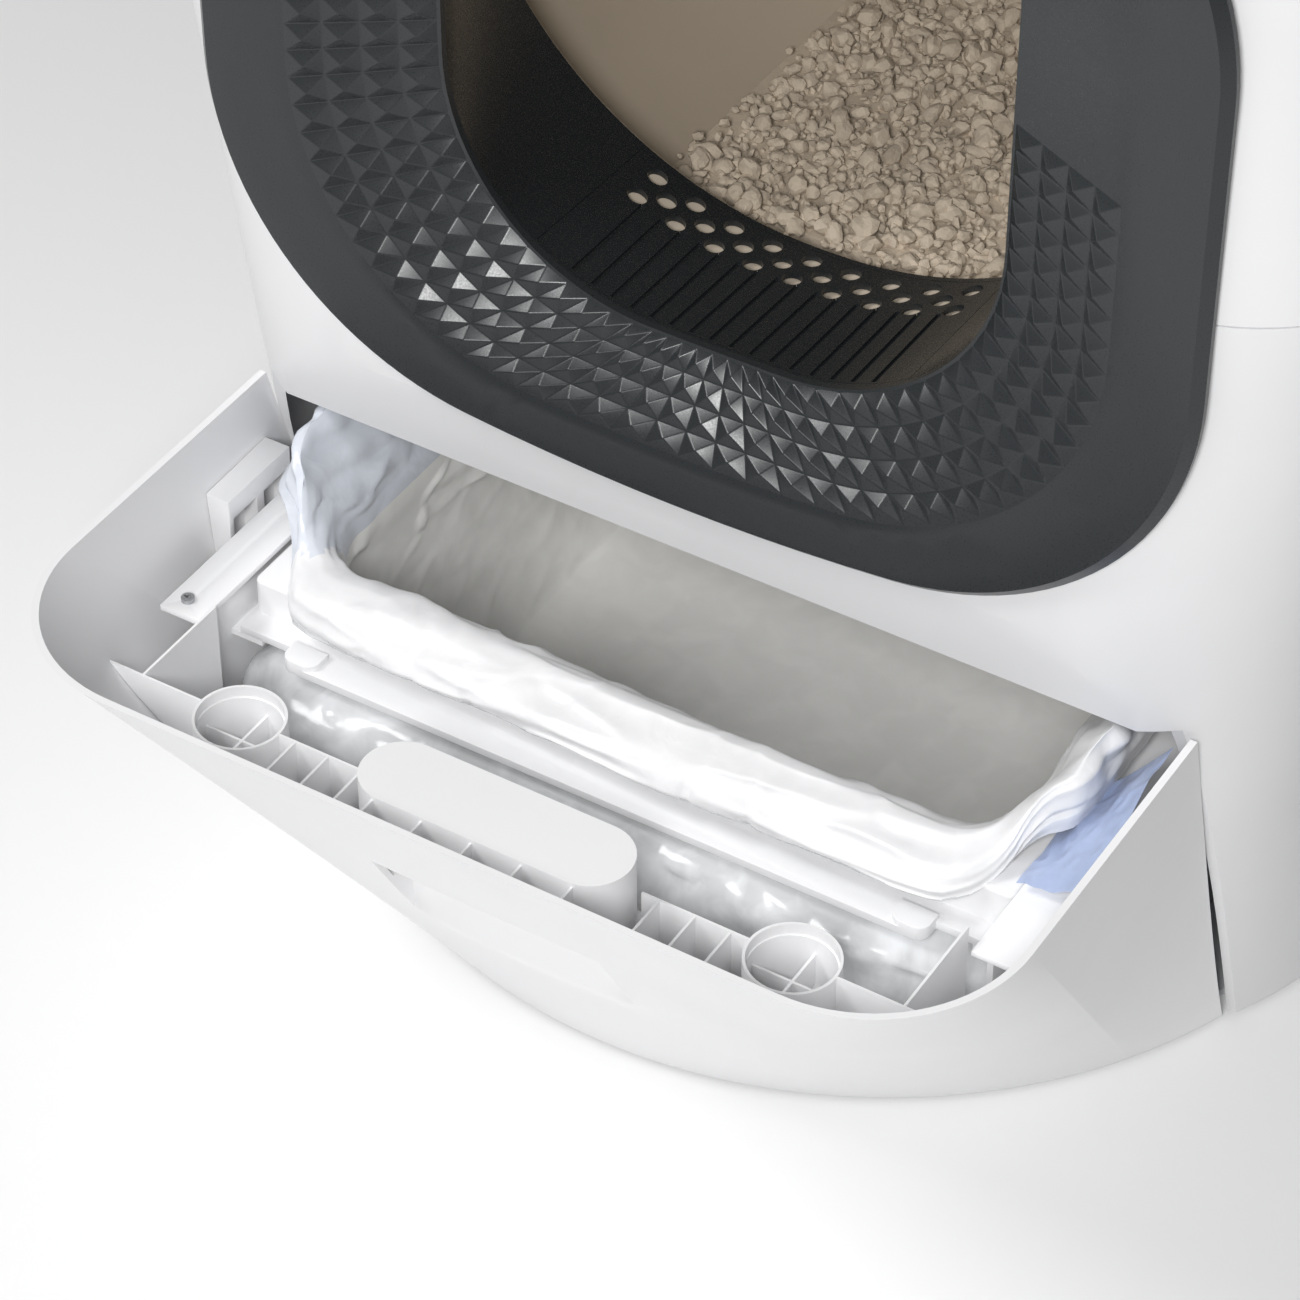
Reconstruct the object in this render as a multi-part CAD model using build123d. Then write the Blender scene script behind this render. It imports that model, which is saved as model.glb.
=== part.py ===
from build123d import *
import math
import os
from functools import lru_cache

# Self-cleaning litter box: a drum turns in an egg-shaped body, above a pull-out waste drawer.
# Millimetres, X right, Y back, Z up, origin on the floor below the middle of the whole box.

# Body
wall = 4.0
body_half_width = 298.0
body_height = 774.0
body_back_y = 323.0
face_y = -123.0
floor_gap = 3.0
base_narrowing = 26.0
base_back_y = 321.0
base_front_corner = 183.0
back_straight = 6.0
side_straight = 17.0
apron_z = 229.0
apron_y = -110.0
apron_rise = 46.0
apron_narrowing = 16.0
apron_corner = 98.0
waist_z = 155.0
waist_narrowing = 27.0
waist_corner = 122.0
seam_z = 458.0
seam_corner = 88.0
seam_width = 0.8
seam_depth = 1.4
shoulder_drop = 15.0
back_flat = 76.0
back_run = 136.0
crown_narrowing = 148.0
crown_front_y = -30.0
crown_back_y = 232.0

# Drum bay: the drum is as large as the bay's width and height allow
deck_z = 236.0
deck_thickness = 4.0
drum_side_room = 70.0
drum_crown_room = 28.0
drum_floor_room = 50.0
drum_wall = 4.0
drum_front_y = 4.0
drum_back_y = 262.0
drum_joint_y = 133.0
drum_mouth_ledge = 18.0
drum_shoulder_radius = 14.0
drum_back_radius = 24.0
drum_flange = 8.0
port_from_deg = 132.0
port_to_deg = 168.0
port_front_y = 52.0
port_back_y = 184.0
sieve_half_deg = 35.0
sieve_thickness = 3.0
sieve_slot = 8.0
sieve_pitch = 13.0
sieve_margin = 14.0
litter_depth = 23.0

# Entry bezel, opening and tunnel
tunnel_room = 15.0
mouth_width_share = 0.712
mouth_top_share = 0.743
mouth_corner_share = 0.772
step_width_share = 0.684
mouth_sag = 2.0
bezel_reach = 105.0
bezel_reach_down = 66.0
bezel_reach_up = 45.0
bezel_above_apron = 38.0
bezel_flat = 91.0
bezel_top_round = 15.0
bezel_sag = 30.0
bezel_proud = 6.0
bezel_seat = 1.5
bezel_chamfer = 4.5
bezel_thickness = 4.0
crease_share = 0.38
crease_drop = 4.0
lip_y = -95.0
tunnel_wall = 3.0
tunnel_back_y = 0.0
seal_front_y = -34.0
seal_lip_y = -7.0
seal_width = 15.0
seal_sleeve = 3.0
step_front_y = -90.0
step_back_y = -3.0
groove_pitch = 10.0
groove_width = 2.4
groove_depth = 1.2
groove_front_margin = 1.5
groove_length = 58.0
groove_side_margin = 13.0
hole_radius = 4.7
hole_pitch = 20.0
hole_row_step = 8.6
hole_side_margin = 8.0

# Drive and rollers
gear_module = 4.0
pinion_teeth = 16
gear_front_y = 224.0
gear_width = 14.0
gear_backlash = 0.7
gear_play = 0.2
pinion_deg = -50.0
gearbox_radius = 31.0
gearbox_length = 46.0
gearbox_gap = 8.0
motor_radius = 19.0
motor_length = 66.0
shaft_radius = 5.0
bracket_thickness = 4.0
bracket_margin = 4.0
bracket_foot = 40.0
roller_radius = 16.0
roller_width = 14.0
roller_deg = 25.0
roller_front_y = 39.0
roller_back_y = 196.0
pin_radius = 3.0
cheek_gap = 0.6
cheek_thickness = 3.0
cheek_half_width = 12.0

# Drawer
rim_z = 225.5
rim_narrowing = 55.0
rim_front_y = -323.0
rim_corner = 76.0
floor_front_y = -201.0
floor_margin = 10.0
hull_back_y = -20.0
drawer_wall = 3.4
seam_top_y = -98.0
seam_foot_y = -29.0
seam_gap_top = 0.8
seam_gap_foot = 5.0
bin_room = 37.0
bin_wall = 3.0
bin_floor_z = 14.0
bin_top_z = 172.0
bin_front_y = -205.0
bin_back_y = 195.0
rib_wall_y = -261.8
rib_top_z = 182.0
rib_thickness = 1.2
rib_first = 9.0
rib_pitch = 17.6
rib_count = 3
cup_from_rim = 102.0
cup_radius = 21.2
cup_wall = 2.0
cup_lip_wall = 1.3
cup_lip_depth = 6.0
cup_floor_z = 150.0
cup_base = 40.0
cross_drop = 14.0
gusset_foot_z = 40.0
nib_y = -249.0
nib_from_rim = 12.0
nib_half_width = 1.6
nib_height = 6.0
nib_heights = (193.0, 181.0, 168.0)
block_half_length = 67.0
block_width = 39.0
block_ahead = 9.0
block_top_z = 202.0
block_floor_z = 129.0
block_wall = 2.5
front_rib_pitch = 25.2
front_rib_count = 5
front_rib_drop = 2.0
grip_half_width = 58.0
grip_top_z = 154.0
grip_foot_z = 97.0
frame_room = 8.0
frame_top_z = 172.0
frame_height = 24.0
flange_depth = 12.0
flange_thickness = 4.0
frame_front_y = -185.0
frame_back_y = 176.0
frame_bar = 34.0
frame_side = 16.0
frame_skin = 3.0
ledge_width = 17.0
ledge_thickness = 3.0
tab_from_end = 39.0
tab_half_width = 9.0
tab_reach = 11.0
tab_height = 7.0
strip_width = 22.0
strip_thickness = 3.0
strip_front_y = -213.0
strip_back_y = 188.0
strip_screw_inset = 13.0
strip_screw_end = 9.0
strip_screw_grip = 8.0
catch_from_rim = 18.0
catch_depth = 11.0
catch_front_y = -153.0
catch_back_y = -104.0
catch_low_z = 150.0
catch_high_z = 191.0
catch_window_half = 9.0
catch_window_offset = 12.0
bag_wall = 1.2
bag_clear = 1.0
bag_lip_height = 16.0
belly_front_y = -222.0
belly_drop = 6.0
belly_round = 20.0

# Deck, pan and small parts
chute_from_roller = 19.2
chute_front_y = 46.0
chute_back_y = 190.0
chute_foot_z = 205.0
chute_wall = 2.5
deck_narrowing = 23.5
deck_corner = 107.0
pan_z = 5.0
pan_thickness = 4.0
post_radius = 8.0
post_side_inset = 29.0
post_side_y = 40.0
post_back_inset = 142.0
post_back_y = 255.0
foot_radius = 15.0
foot_front_inset = 142.0
foot_front_y = -84.0
foot_back_inset = 122.0
foot_back_y = 215.0
cell_size = 34.0
cell_thickness = 4.0
rail_width = 28.0
guide_thickness = 3.0
guide_top_z = 34.0
rail_front_y = -80.0
rail_back_y = 200.0
inlet_x = 0.0
inlet_z = 70.0
inlet_radius = 8.0
inlet_bore = 3.2
inlet_pin = 1.1
board_from_side = 53.0
board_width = 75.0
board_front_y = 70.0
board_back_y = 165.0
board_thickness = 1.6
standoff = 7.0
panel_y = 20.0
panel_half_length = 70.0
panel_width = 40.0
panel_depth = 7.0
panel_flange = 5.0
button_radius = 7.0
button_pitch = 34.0
button_proud = 1.0
screw_head_radius = 3.1
screw_head_height = 2.2
screw_shank_radius = 1.6
cross_half_length = 1.9
cross_half_width = 0.4
cross_floor = 1.0
deck_screw_radius = 5.0
drum_screw_radius = 3.0
drum_screw_count = 8
drum_screw_from_deg = 37.25
fit_gap = 0.3
slip = 0.05

# Sizes that follow from those above
base_half_width = body_half_width - base_narrowing
waist_half_width = body_half_width - waist_narrowing
apron_half_width = body_half_width - apron_narrowing
crown_half_width = body_half_width - crown_narrowing
base_depth = base_back_y - face_y
base_back_corner = min(base_half_width - side_straight, base_depth - base_front_corner - back_straight)
back_corner = min(body_half_width - back_flat, body_back_y - face_y - seam_corner - back_run)
deck_top = deck_z + deck_thickness
drum_outer = min(
    body_half_width - drum_side_room, (body_height - drum_crown_room - deck_top - drum_floor_room) / 2
)
drum_radius = drum_outer - drum_wall
drum_z = deck_top + drum_floor_room + drum_outer
drum_mouth_radius = drum_radius - drum_mouth_ledge
drum_axis = Axis((0, 0, drum_z), (0, 1, 0))
litter_z = drum_z - drum_radius + litter_depth
tunnel_radius = drum_mouth_radius - tunnel_room
mouth_half_width = mouth_width_share * tunnel_radius
mouth_corner = mouth_corner_share * mouth_half_width
step_half_width = step_width_share * mouth_half_width
mouth_top_z = drum_z + mouth_top_share * tunnel_radius
bezel_bottom_z = apron_z + bezel_above_apron
bezel_top_z = mouth_top_z + bezel_reach_up
mouth_bottom_z = bezel_bottom_z + bezel_reach_down
bezel_half_width = mouth_half_width + bezel_reach
bezel_corner = bezel_half_width - bezel_flat
bezel_top_corner = bezel_corner - bezel_top_round
shoulder_z = bezel_top_z - shoulder_drop
seat_y = face_y + bezel_seat
bezel_front_y = face_y - bezel_proud
tunnel_front_y = lip_y + bezel_thickness - 0.5
groove_count = int(2 * (step_half_width - groove_side_margin) / groove_pitch)
hole_count = int(2 * (step_half_width - hole_side_margin) / hole_pitch) + 1
ring_teeth = round(2 * (drum_outer + drum_flange) / gear_module)
gear_distance = gear_module * (ring_teeth + pinion_teeth) / 2 + gear_play
pinion_x = gear_distance * math.cos(math.radians(pinion_deg))
pinion_z = drum_z + gear_distance * math.sin(math.radians(pinion_deg))
gearbox_back_y = gear_front_y - gearbox_gap
roller_distance = drum_outer + roller_radius + fit_gap
roller_x = roller_distance * math.sin(math.radians(roller_deg))
roller_z = drum_z - roller_distance * math.cos(math.radians(roller_deg))
roller_places = [(side, y) for side in (-1, 1) for y in (roller_front_y, roller_back_y)]
chute_half_width = roller_x - chute_from_roller
rim_half_width = body_half_width - rim_narrowing
floor_radius = base_half_width - floor_margin
floor_centre_y = floor_front_y + floor_radius
bin_half_width = rim_half_width - bin_room
frame_half_width = bin_half_width - frame_room
bar_front_y = frame_front_y + flange_depth
strip_inner_x = frame_half_width + 1
strip_screw_x = strip_inner_x + strip_screw_inset
tab_x = frame_half_width - tab_from_end
gusset_x = frame_half_width - 4
cup_x = rim_half_width - cup_from_rim
catch_x = rim_half_width - catch_from_rim
block_y = rib_wall_y - block_ahead
grip_y = floor_front_y + (rim_front_y - floor_front_y) * (grip_foot_z - floor_gap) / (rim_z - floor_gap)
bag_floor_z = bin_floor_z + bin_wall + 1
belly_top_z = frame_top_z - frame_height - belly_drop
pan_top = pan_z + pan_thickness
post_places = [
    (side * (base_half_width - inset), y)
    for inset, y in ((post_side_inset, post_side_y), (post_back_inset, post_back_y))
    for side in (1, -1)
]
foot_places = [
    (side * (base_half_width - inset), y)
    for inset, y in ((foot_front_inset, foot_front_y), (foot_back_inset, foot_back_y))
    for side in (1, -1)
]
board_x = board_from_side - body_half_width
far = 2000.0


def block_between(x0, x1, y0, y1, z0, z1):
    size = (x1 - x0, y1 - y0, z1 - z0)
    centre = ((x0 + x1) / 2, (y0 + y1) / 2, (z0 + z1) / 2)
    return Pos(*centre) * Box(*size)


def rod_along_y(x, z, radius, y0, y1):
    return Pos(x, (y0 + y1) / 2, z) * Rot(90, 0, 0) * Cylinder(radius, y1 - y0)


def rod_along_z(x, y, radius, z0, z1):
    return Pos(x, y, (z0 + z1) / 2) * Cylinder(radius, z1 - z0)


def upright(sketch, y):
    return Plane.XZ.offset(-y) * sketch


def prism_along_y(sketch, y0, y1):
    return extrude(upright(sketch, y0), amount=y1 - y0, dir=(0, 1, 0))


def slab(z0, z1):
    return block_between(-far, far, -far, far, z0, z1)


def blend(a, b, share):
    return a + (b - a) * share


# Body: one egg lofted through rounded plans, cut into a base shell and an upper shell


def rounded_plan(half, front, back, front_corner, back_corner):
    left_front = (-half + front_corner, front + front_corner)
    right_front = (half - front_corner, front + front_corner)
    right_back = (half - back_corner, back - back_corner)
    left_back = (-half + back_corner, back - back_corner)
    outline = [
        Line((left_front[0], front), (right_front[0], front)),
        CenterArc(right_front, front_corner, 270, 90),
        Line((half, right_front[1]), (half, right_back[1])),
        CenterArc(right_back, back_corner, 0, 90),
        Line((right_back[0], back), (left_back[0], back)),
        CenterArc(left_back, back_corner, 90, 90),
        Line((-half, left_back[1]), (-half, left_front[1])),
        CenterArc(left_front, front_corner, 180, 90),
    ]
    return make_face(outline)


# Each station: height, half width, front, back, front corner, back corner
base_stations = [
    (floor_gap, base_half_width, face_y, base_back_y, base_front_corner, base_back_corner),
    (waist_z, waist_half_width, face_y, base_back_y + 1, waist_corner, back_corner + 22),
    (apron_z + 77, apron_half_width, face_y, body_back_y, apron_corner, back_corner + 10),
    (seam_z, body_half_width, face_y, body_back_y, seam_corner, back_corner),
]
cheek_z = (seam_z + shoulder_z) / 2
upper_stations = [
    (seam_z, body_half_width, face_y, body_back_y, seam_corner, back_corner),
    (cheek_z, body_half_width - 4, face_y, body_back_y - 3, seam_corner + 6, back_corner - 6),
    (shoulder_z, body_half_width - 24, face_y, body_back_y - 14, seam_corner + 16, back_corner - 16),
]
brow_z = body_height - 34
top_z = body_height - 10
crown_stations = [
    (shoulder_z, body_half_width - 24, face_y, body_back_y - 14, seam_corner + 16, back_corner - 16),
    (brow_z, body_half_width - 62, face_y + 15, body_back_y - 30, seam_corner + 22, back_corner - 42),
    (top_z, body_half_width - 108, face_y + 48, body_back_y - 55, seam_corner + 18, back_corner - 72),
    (body_height, crown_half_width, crown_front_y, crown_back_y, seam_corner - 8, back_corner - 102),
]


def apron_cut(inset):
    # The apron leans back in two steps from the flat front to the drawer's mouth
    drop = apron_y - face_y
    profile = [
        (face_y + inset - 0.2 * drop, apron_z + 1.3 * apron_rise),
        (face_y + inset + 0.3 * drop, apron_z + 0.5 * apron_rise),
        (apron_y + inset, apron_z),
        (apron_y + inset, -20),
        (-far, -20),
        (-far, apron_z + 1.3 * apron_rise),
    ]
    return extrude(Plane.YZ.offset(-far) * make_face(Polyline(profile, close=True)), amount=2 * far)


def station_plan(station, inset):
    z, half, front, back, front_corner, rear_corner = station
    return rounded_plan(half - inset, front + inset, back - inset, front_corner - inset, rear_corner - inset)


def base_solid(inset):
    plans = [Pos(0, 0, station[0]) * station_plan(station, inset) for station in base_stations]
    return loft(plans) - apron_cut(inset)


def upper_solid(inset):
    sides = [Pos(0, 0, station[0]) * station_plan(station, inset) for station in upper_stations]
    crown = []
    for station in crown_stations:
        drop = inset if station[0] > shoulder_z else 0
        crown.append(Pos(0, 0, station[0] - drop) * station_plan(station, inset))
    return loft(sides) + loft(crown)


# Bezel outlines: share 0 is the outer edge, share 1 is the lip of the opening


def egg_outline(half, bottom, top, bottom_corner, top_corner, sag):
    outline = [
        ThreePointArc((-half, bottom + sag), (0, bottom), (half, bottom + sag)),
        Line((half, bottom + sag), (half, top - sag)),
        ThreePointArc((half, top - sag), (0, top), (-half, top - sag)),
        Line((-half, top - sag), (-half, bottom + sag)),
    ]
    sketch = make_face(outline)
    sketch = fillet(sketch.vertices().group_by(Axis.Y)[0], bottom_corner)
    return fillet(sketch.vertices().group_by(Axis.Y)[-1], top_corner)


def bezel_outline(share):
    return egg_outline(
        blend(bezel_half_width, mouth_half_width, share),
        blend(bezel_bottom_z, mouth_bottom_z, share),
        blend(bezel_top_z, mouth_top_z, share),
        blend(bezel_corner, mouth_corner, share),
        blend(bezel_top_corner, mouth_corner, share),
        blend(bezel_sag, mouth_sag, share),
    )


def bezel_stack(stations):
    return loft([upright(bezel_outline(share), y) for share, y in stations], ruled=True)


def make_shells():
    opening = prism_along_y(bezel_outline(0.16), face_y - 20, face_y + 60)
    opening += prism_along_y(offset(bezel_outline(0), amount=fit_gap), face_y - 20, seat_y)
    seam_plan = rounded_plan(
        body_half_width - seam_depth,
        face_y + seam_depth,
        body_back_y - seam_depth,
        seam_corner - seam_depth,
        back_corner - seam_depth,
    )
    seam_core = extrude(Pos(0, 0, seam_z - 4) * seam_plan, amount=8)
    groove = slab(seam_z - seam_width / 2, seam_z + seam_width / 2) - seam_core
    lower = base_solid(0) - base_solid(wall) - opening - groove - drawer_bay()
    upper = upper_solid(0) - upper_solid(wall) - opening - groove
    lower -= rod_along_y(inlet_x, inlet_z, inlet_radius + slip, body_back_y - 30, body_back_y + 10)
    upper -= extrude(Pos(0, panel_y, body_height - 30) * panel_outline(fit_gap), amount=60)
    return lower, upper


def drawer_bay():
    lean = (seam_top_y - seam_foot_y) / rim_z
    top_y = seam_foot_y + lean * apron_z
    side = Polyline(
        [(-far, -20), (seam_foot_y - 20 * lean, -20), (top_y, apron_z), (-far, apron_z)], close=True
    )
    return extrude(Plane.YZ.offset(-far) * make_face(side), amount=2 * far)


def make_bezel():
    flange = prism_along_y(bezel_outline(0), bezel_front_y, seat_y)
    rim_edges = flange.faces().sort_by(Axis.Y)[0].edges()
    flange = chamfer(rim_edges, bezel_chamfer)
    back = bezel_stack(
        [
            (0.18, seat_y - 1),
            (crease_share + 0.03, seat_y),
            (0.97, lip_y + bezel_thickness - 0.5),
        ]
    )
    dish = bezel_stack(
        [
            (0.075, bezel_front_y - 0.5),
            (crease_share, bezel_front_y + crease_drop),
            (1.0, lip_y),
            (1.0, lip_y + 20),
        ]
    )
    return flange + back - dish


def tunnel_outline(extra, at_back):
    if at_back:
        radius = tunnel_radius - 5
        outline = egg_outline(
            tunnel_radius, drum_z - tunnel_radius, drum_z + tunnel_radius, radius, radius, 1.0
        )
    else:
        outline = bezel_outline(1.0)
    if extra:
        outline = offset(outline, amount=extra)
    return outline


def tunnel_solid(extra, front_y, back_y):
    front = upright(tunnel_outline(extra, False), front_y)
    back = upright(tunnel_outline(extra, True), back_y)
    return loft([front, back], ruled=True)


def make_tunnel():
    tube = tunnel_solid(tunnel_wall, tunnel_front_y, tunnel_back_y)
    tube -= tunnel_solid(0, tunnel_front_y, tunnel_back_y)
    floor_top = mouth_bottom_z + mouth_corner / 2
    cut = block_between(-step_half_width, step_half_width, step_front_y, step_back_y, 0, floor_top)
    gap = fit_gap
    insert = block_between(
        gap - step_half_width, step_half_width - gap, step_front_y + gap, step_back_y - gap, 0, floor_top
    )
    step = tube & insert
    tube -= cut
    hole_back_y = step_back_y - hole_radius - 3
    holes = []
    for row, count in enumerate((hole_count, hole_count - 1, hole_count)):
        y = hole_back_y - row * hole_row_step
        for i in range(count):
            x = (i - (count - 1) / 2) * hole_pitch
            holes.append(rod_along_z(x, y, hole_radius, 200, 420))
    groove_front = step_front_y + groove_front_margin
    grooves = []
    for i in range(groove_count):
        x = (i - (groove_count - 1) / 2) * groove_pitch
        grooves.append(
            block_between(
                x - groove_width / 2, x + groove_width / 2, groove_front, groove_front + groove_length, 0, 420
            )
        )
    depth = groove_depth
    skin = tunnel_solid(depth, tunnel_front_y, tunnel_back_y) - tunnel_solid(0, tunnel_front_y, tunnel_back_y)
    for groove in grooves:
        step -= skin & groove
    for hole in holes:
        step -= hole
    return tube, step


def make_mouth_seal():
    clear = tunnel_wall + fit_gap
    ring = prism_along_y(tunnel_outline(clear + seal_width, True), seal_lip_y, drum_front_y - fit_gap)
    ring += prism_along_y(tunnel_outline(clear + seal_sleeve, True), seal_front_y, seal_lip_y)
    return ring - prism_along_y(tunnel_outline(clear, True), seal_front_y - 1, drum_front_y)


# Drum: two turned halves, ring gear, sieve


def turned(points):
    profile = Pos(0, 0, drum_z) * make_face(Polyline(points, close=True))
    return revolve(profile, drum_axis, 360)


def port_cut():
    points = []
    for deg, reach in (
        (port_from_deg, 0.8),
        (port_from_deg, 1.25),
        (port_to_deg, 1.25),
        (port_to_deg, 0.8),
    ):
        angle = math.radians(deg)
        points.append((reach * drum_radius * math.sin(angle), drum_z - reach * drum_radius * math.cos(angle)))
    return prism_along_y(make_face(Polyline(points, close=True)), port_front_y, port_back_y)


def make_drum():
    inner = drum_radius
    outer = drum_outer
    soft = drum_shoulder_radius
    front_points = [
        (drum_mouth_radius, drum_front_y),
        (outer - soft, drum_front_y),
        (outer - soft * 0.29, drum_front_y + soft * 0.29),
        (outer, drum_front_y + soft),
        (outer, drum_joint_y - drum_wall),
        (outer + drum_flange, drum_joint_y - drum_wall),
        (outer + drum_flange, drum_joint_y),
        (inner, drum_joint_y),
        (inner, drum_front_y + soft),
        (inner - soft * 0.29, drum_front_y + drum_wall + soft * 0.12),
        (inner - soft, drum_front_y + drum_wall),
        (drum_mouth_radius, drum_front_y + drum_wall),
    ]
    gear_back = gear_front_y + gear_width
    soft = drum_back_radius
    rear_points = [
        (0, drum_back_y),
        (outer - soft, drum_back_y),
        (outer - soft * 0.29, drum_back_y - soft * 0.29),
        (outer, drum_back_y - soft + drum_wall),
        (outer + drum_flange, drum_back_y - soft + drum_wall),
        (outer + drum_flange, gear_back),
        (outer, gear_back),
        (outer, drum_joint_y + drum_wall),
        (outer + drum_flange, drum_joint_y + drum_wall),
        (outer + drum_flange, drum_joint_y),
        (inner, drum_joint_y),
        (inner, drum_back_y - soft),
        (inner - soft * 0.29, drum_back_y - drum_wall - soft * 0.12),
        (inner - soft, drum_back_y - drum_wall),
        (0, drum_back_y - drum_wall),
    ]
    port = port_cut()
    return turned(front_points) - port, turned(rear_points) - port


def make_sieve():
    reach = drum_radius * math.cos(math.radians(sieve_half_deg))
    height = drum_radius * math.sin(math.radians(sieve_half_deg)) - fit_gap
    front = drum_front_y + drum_shoulder_radius + fit_gap
    back = drum_back_y - drum_back_radius - fit_gap
    plate = block_between(reach - sieve_thickness, reach, front, back, drum_z - height, drum_z + height)
    y = front + sieve_margin + sieve_slot / 2
    while y + sieve_slot / 2 + sieve_margin <= back:
        for side in (-1, 1):
            low, high = sorted((side * sieve_margin / 2, side * (height - sieve_margin)))
            plate -= block_between(
                reach - 10, reach + 10, y - sieve_slot / 2, y + sieve_slot / 2, drum_z + low, drum_z + high
            )
        y += sieve_pitch
    return plate


def make_litter():
    bed = rod_along_y(
        0, drum_z, drum_radius - 0.5, drum_front_y + drum_shoulder_radius, drum_back_y - drum_back_radius
    )
    return bed & slab(0, litter_z)


# Gears: involute flanks in the XZ plane


def gear_outline(teeth, phase_deg, flank_points):
    pitch_radius = gear_module * teeth / 2
    base = pitch_radius * math.cos(math.radians(20))
    root = pitch_radius - 1.25 * gear_module
    tip = pitch_radius + gear_module
    pressure = math.radians(20)
    half_at_pitch = (math.pi * gear_module / 2 - gear_backlash) / (2 * pitch_radius)
    start = half_at_pitch + math.tan(pressure) - pressure
    flank = []
    for i in range(flank_points):
        radius = blend(max(root, base), tip, i / (flank_points - 1))
        turn = math.acos(min(1.0, base / radius))
        flank.append((radius, start - math.tan(turn) + turn))
    if root < base:
        flank.insert(0, (root, flank[0][1]))
    points = []
    for tooth in range(teeth):
        centre = math.radians(phase_deg) + 2 * math.pi * tooth / teeth
        rising = [(r, centre - half) for r, half in flank]
        falling = [(r, centre + half) for r, half in reversed(flank)]
        points += [(r * math.cos(a), r * math.sin(a)) for r, a in rising + falling]
    return make_face(Polyline(points, close=True))


def make_ring_gear():
    ring = prism_along_y(
        Pos(0, drum_z) * gear_outline(ring_teeth, pinion_deg, 3), gear_front_y, gear_front_y + gear_width
    )
    gear_back = gear_front_y + gear_width
    return ring - rod_along_y(0, drum_z, drum_outer + fit_gap, gear_front_y - 5, gear_back + 5)


def make_pinion():
    phase = pinion_deg + 180 + 180 / pinion_teeth
    gear = prism_along_y(
        Pos(pinion_x, pinion_z) * gear_outline(pinion_teeth, phase, 4),
        gear_front_y + 1,
        gear_front_y + gear_width - 1,
    )
    return gear + rod_along_y(pinion_x, pinion_z, shaft_radius, gearbox_back_y - 20, gear_front_y + 6)


def make_gear_motor():
    gearbox_front = gearbox_back_y - gearbox_length
    body = rod_along_y(pinion_x, pinion_z, gearbox_radius, gearbox_front, gearbox_back_y - bracket_thickness)
    body += rod_along_y(pinion_x, pinion_z, motor_radius, gearbox_front - motor_length, gearbox_front)
    return body - rod_along_y(pinion_x, pinion_z, shaft_radius + slip, gearbox_back_y - 21, gearbox_back_y)


def make_motor_bracket():
    half = gearbox_radius + bracket_margin
    face = gearbox_back_y - bracket_thickness
    foot = gearbox_back_y - bracket_foot
    plate = block_between(pinion_x - half, pinion_x + half, face, gearbox_back_y, deck_top, pinion_z)
    plate += rod_along_y(pinion_x, pinion_z, half, face, gearbox_back_y)
    plate += block_between(
        pinion_x - half, pinion_x + half, foot, gearbox_back_y, deck_top, deck_top + bracket_thickness
    )
    plate -= rod_along_y(pinion_x, pinion_z, shaft_radius + slip, gearbox_back_y - 10, gearbox_back_y + 10)
    return plate - rod_along_y(0, drum_z, drum_outer + 4, 0, drum_back_y)


# Rollers: four wheels on pins in brackets on the deck

def make_roller(side, y):
    half = roller_width / 2
    wheel = rod_along_y(side * roller_x, roller_z, roller_radius, y - half, y + half)
    wheel = chamfer(wheel.edges(), 1.5)
    return wheel - rod_along_y(side * roller_x, roller_z, pin_radius + slip, y - half - 1, y + half + 1)


def make_roller_bracket(side, y):
    inner = roller_width / 2 + cheek_gap
    outer = inner + cheek_thickness
    x = side * roller_x
    arm = block_between(x - cheek_half_width, x + cheek_half_width, y - outer, y + outer, deck_top, roller_z)
    arm += rod_along_y(x, roller_z, 8, y - outer, y + outer)
    arm -= block_between(x - 40, x + 40, y - inner, y + inner, roller_z - roller_radius - 4, roller_z + 40)
    return arm - rod_along_y(x, roller_z, pin_radius + slip, y - outer - 1, y + outer + 1)


def make_roller_pin(side, y):
    reach = roller_width / 2 + cheek_gap + cheek_thickness + 2
    return rod_along_y(side * roller_x, roller_z, pin_radius, y - reach, y + reach)


# Deck: floor of the drum bay with a chute to the bag below



def make_deck():
    inset = wall + 2 * fit_gap
    half = body_half_width - deck_narrowing
    station = (deck_z, half, face_y, body_back_y - 1, deck_corner, back_corner + 16)
    deck = extrude(Pos(0, 0, deck_z) * station_plan(station, inset), amount=deck_thickness)
    deck -= block_between(-far, far, -far, apron_y + inset, 0, far)
    t = chute_wall
    deck += block_between(
        -chute_half_width - t, chute_half_width + t, chute_front_y - t, chute_back_y + t, chute_foot_z, deck_z
    )
    return deck - block_between(
        -chute_half_width, chute_half_width, chute_front_y, chute_back_y, chute_foot_z - 5, deck_top + 5
    )


def make_pan():
    pan = extrude(Pos(0, 0, pan_z) * station_plan(base_stations[0], wall + 3 * fit_gap), amount=pan_thickness)
    behind_seam = block_between(-far, far, seam_foot_y + seam_gap_foot, far, 0, 40)
    under_drawer = rod_along_z(0, floor_centre_y, floor_radius - drawer_wall - seam_gap_foot, 0, 40)
    return pan & (behind_seam + under_drawer)


def make_posts():
    return Compound([rod_along_z(x, y, post_radius, pan_top, deck_z).solid() for x, y in post_places])


def make_rail(side):
    sit = bin_floor_z - fit_gap
    guide = bin_half_width + fit_gap
    inner = bin_half_width - rail_width
    foot = block_between(inner, guide + guide_thickness, rail_front_y, rail_back_y, pan_top, sit)
    lip = block_between(guide, guide + guide_thickness, rail_front_y, rail_back_y, pan_top, guide_top_z)
    rail = foot + lip
    return rail if side > 0 else mirror(rail, Plane.YZ)


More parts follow.
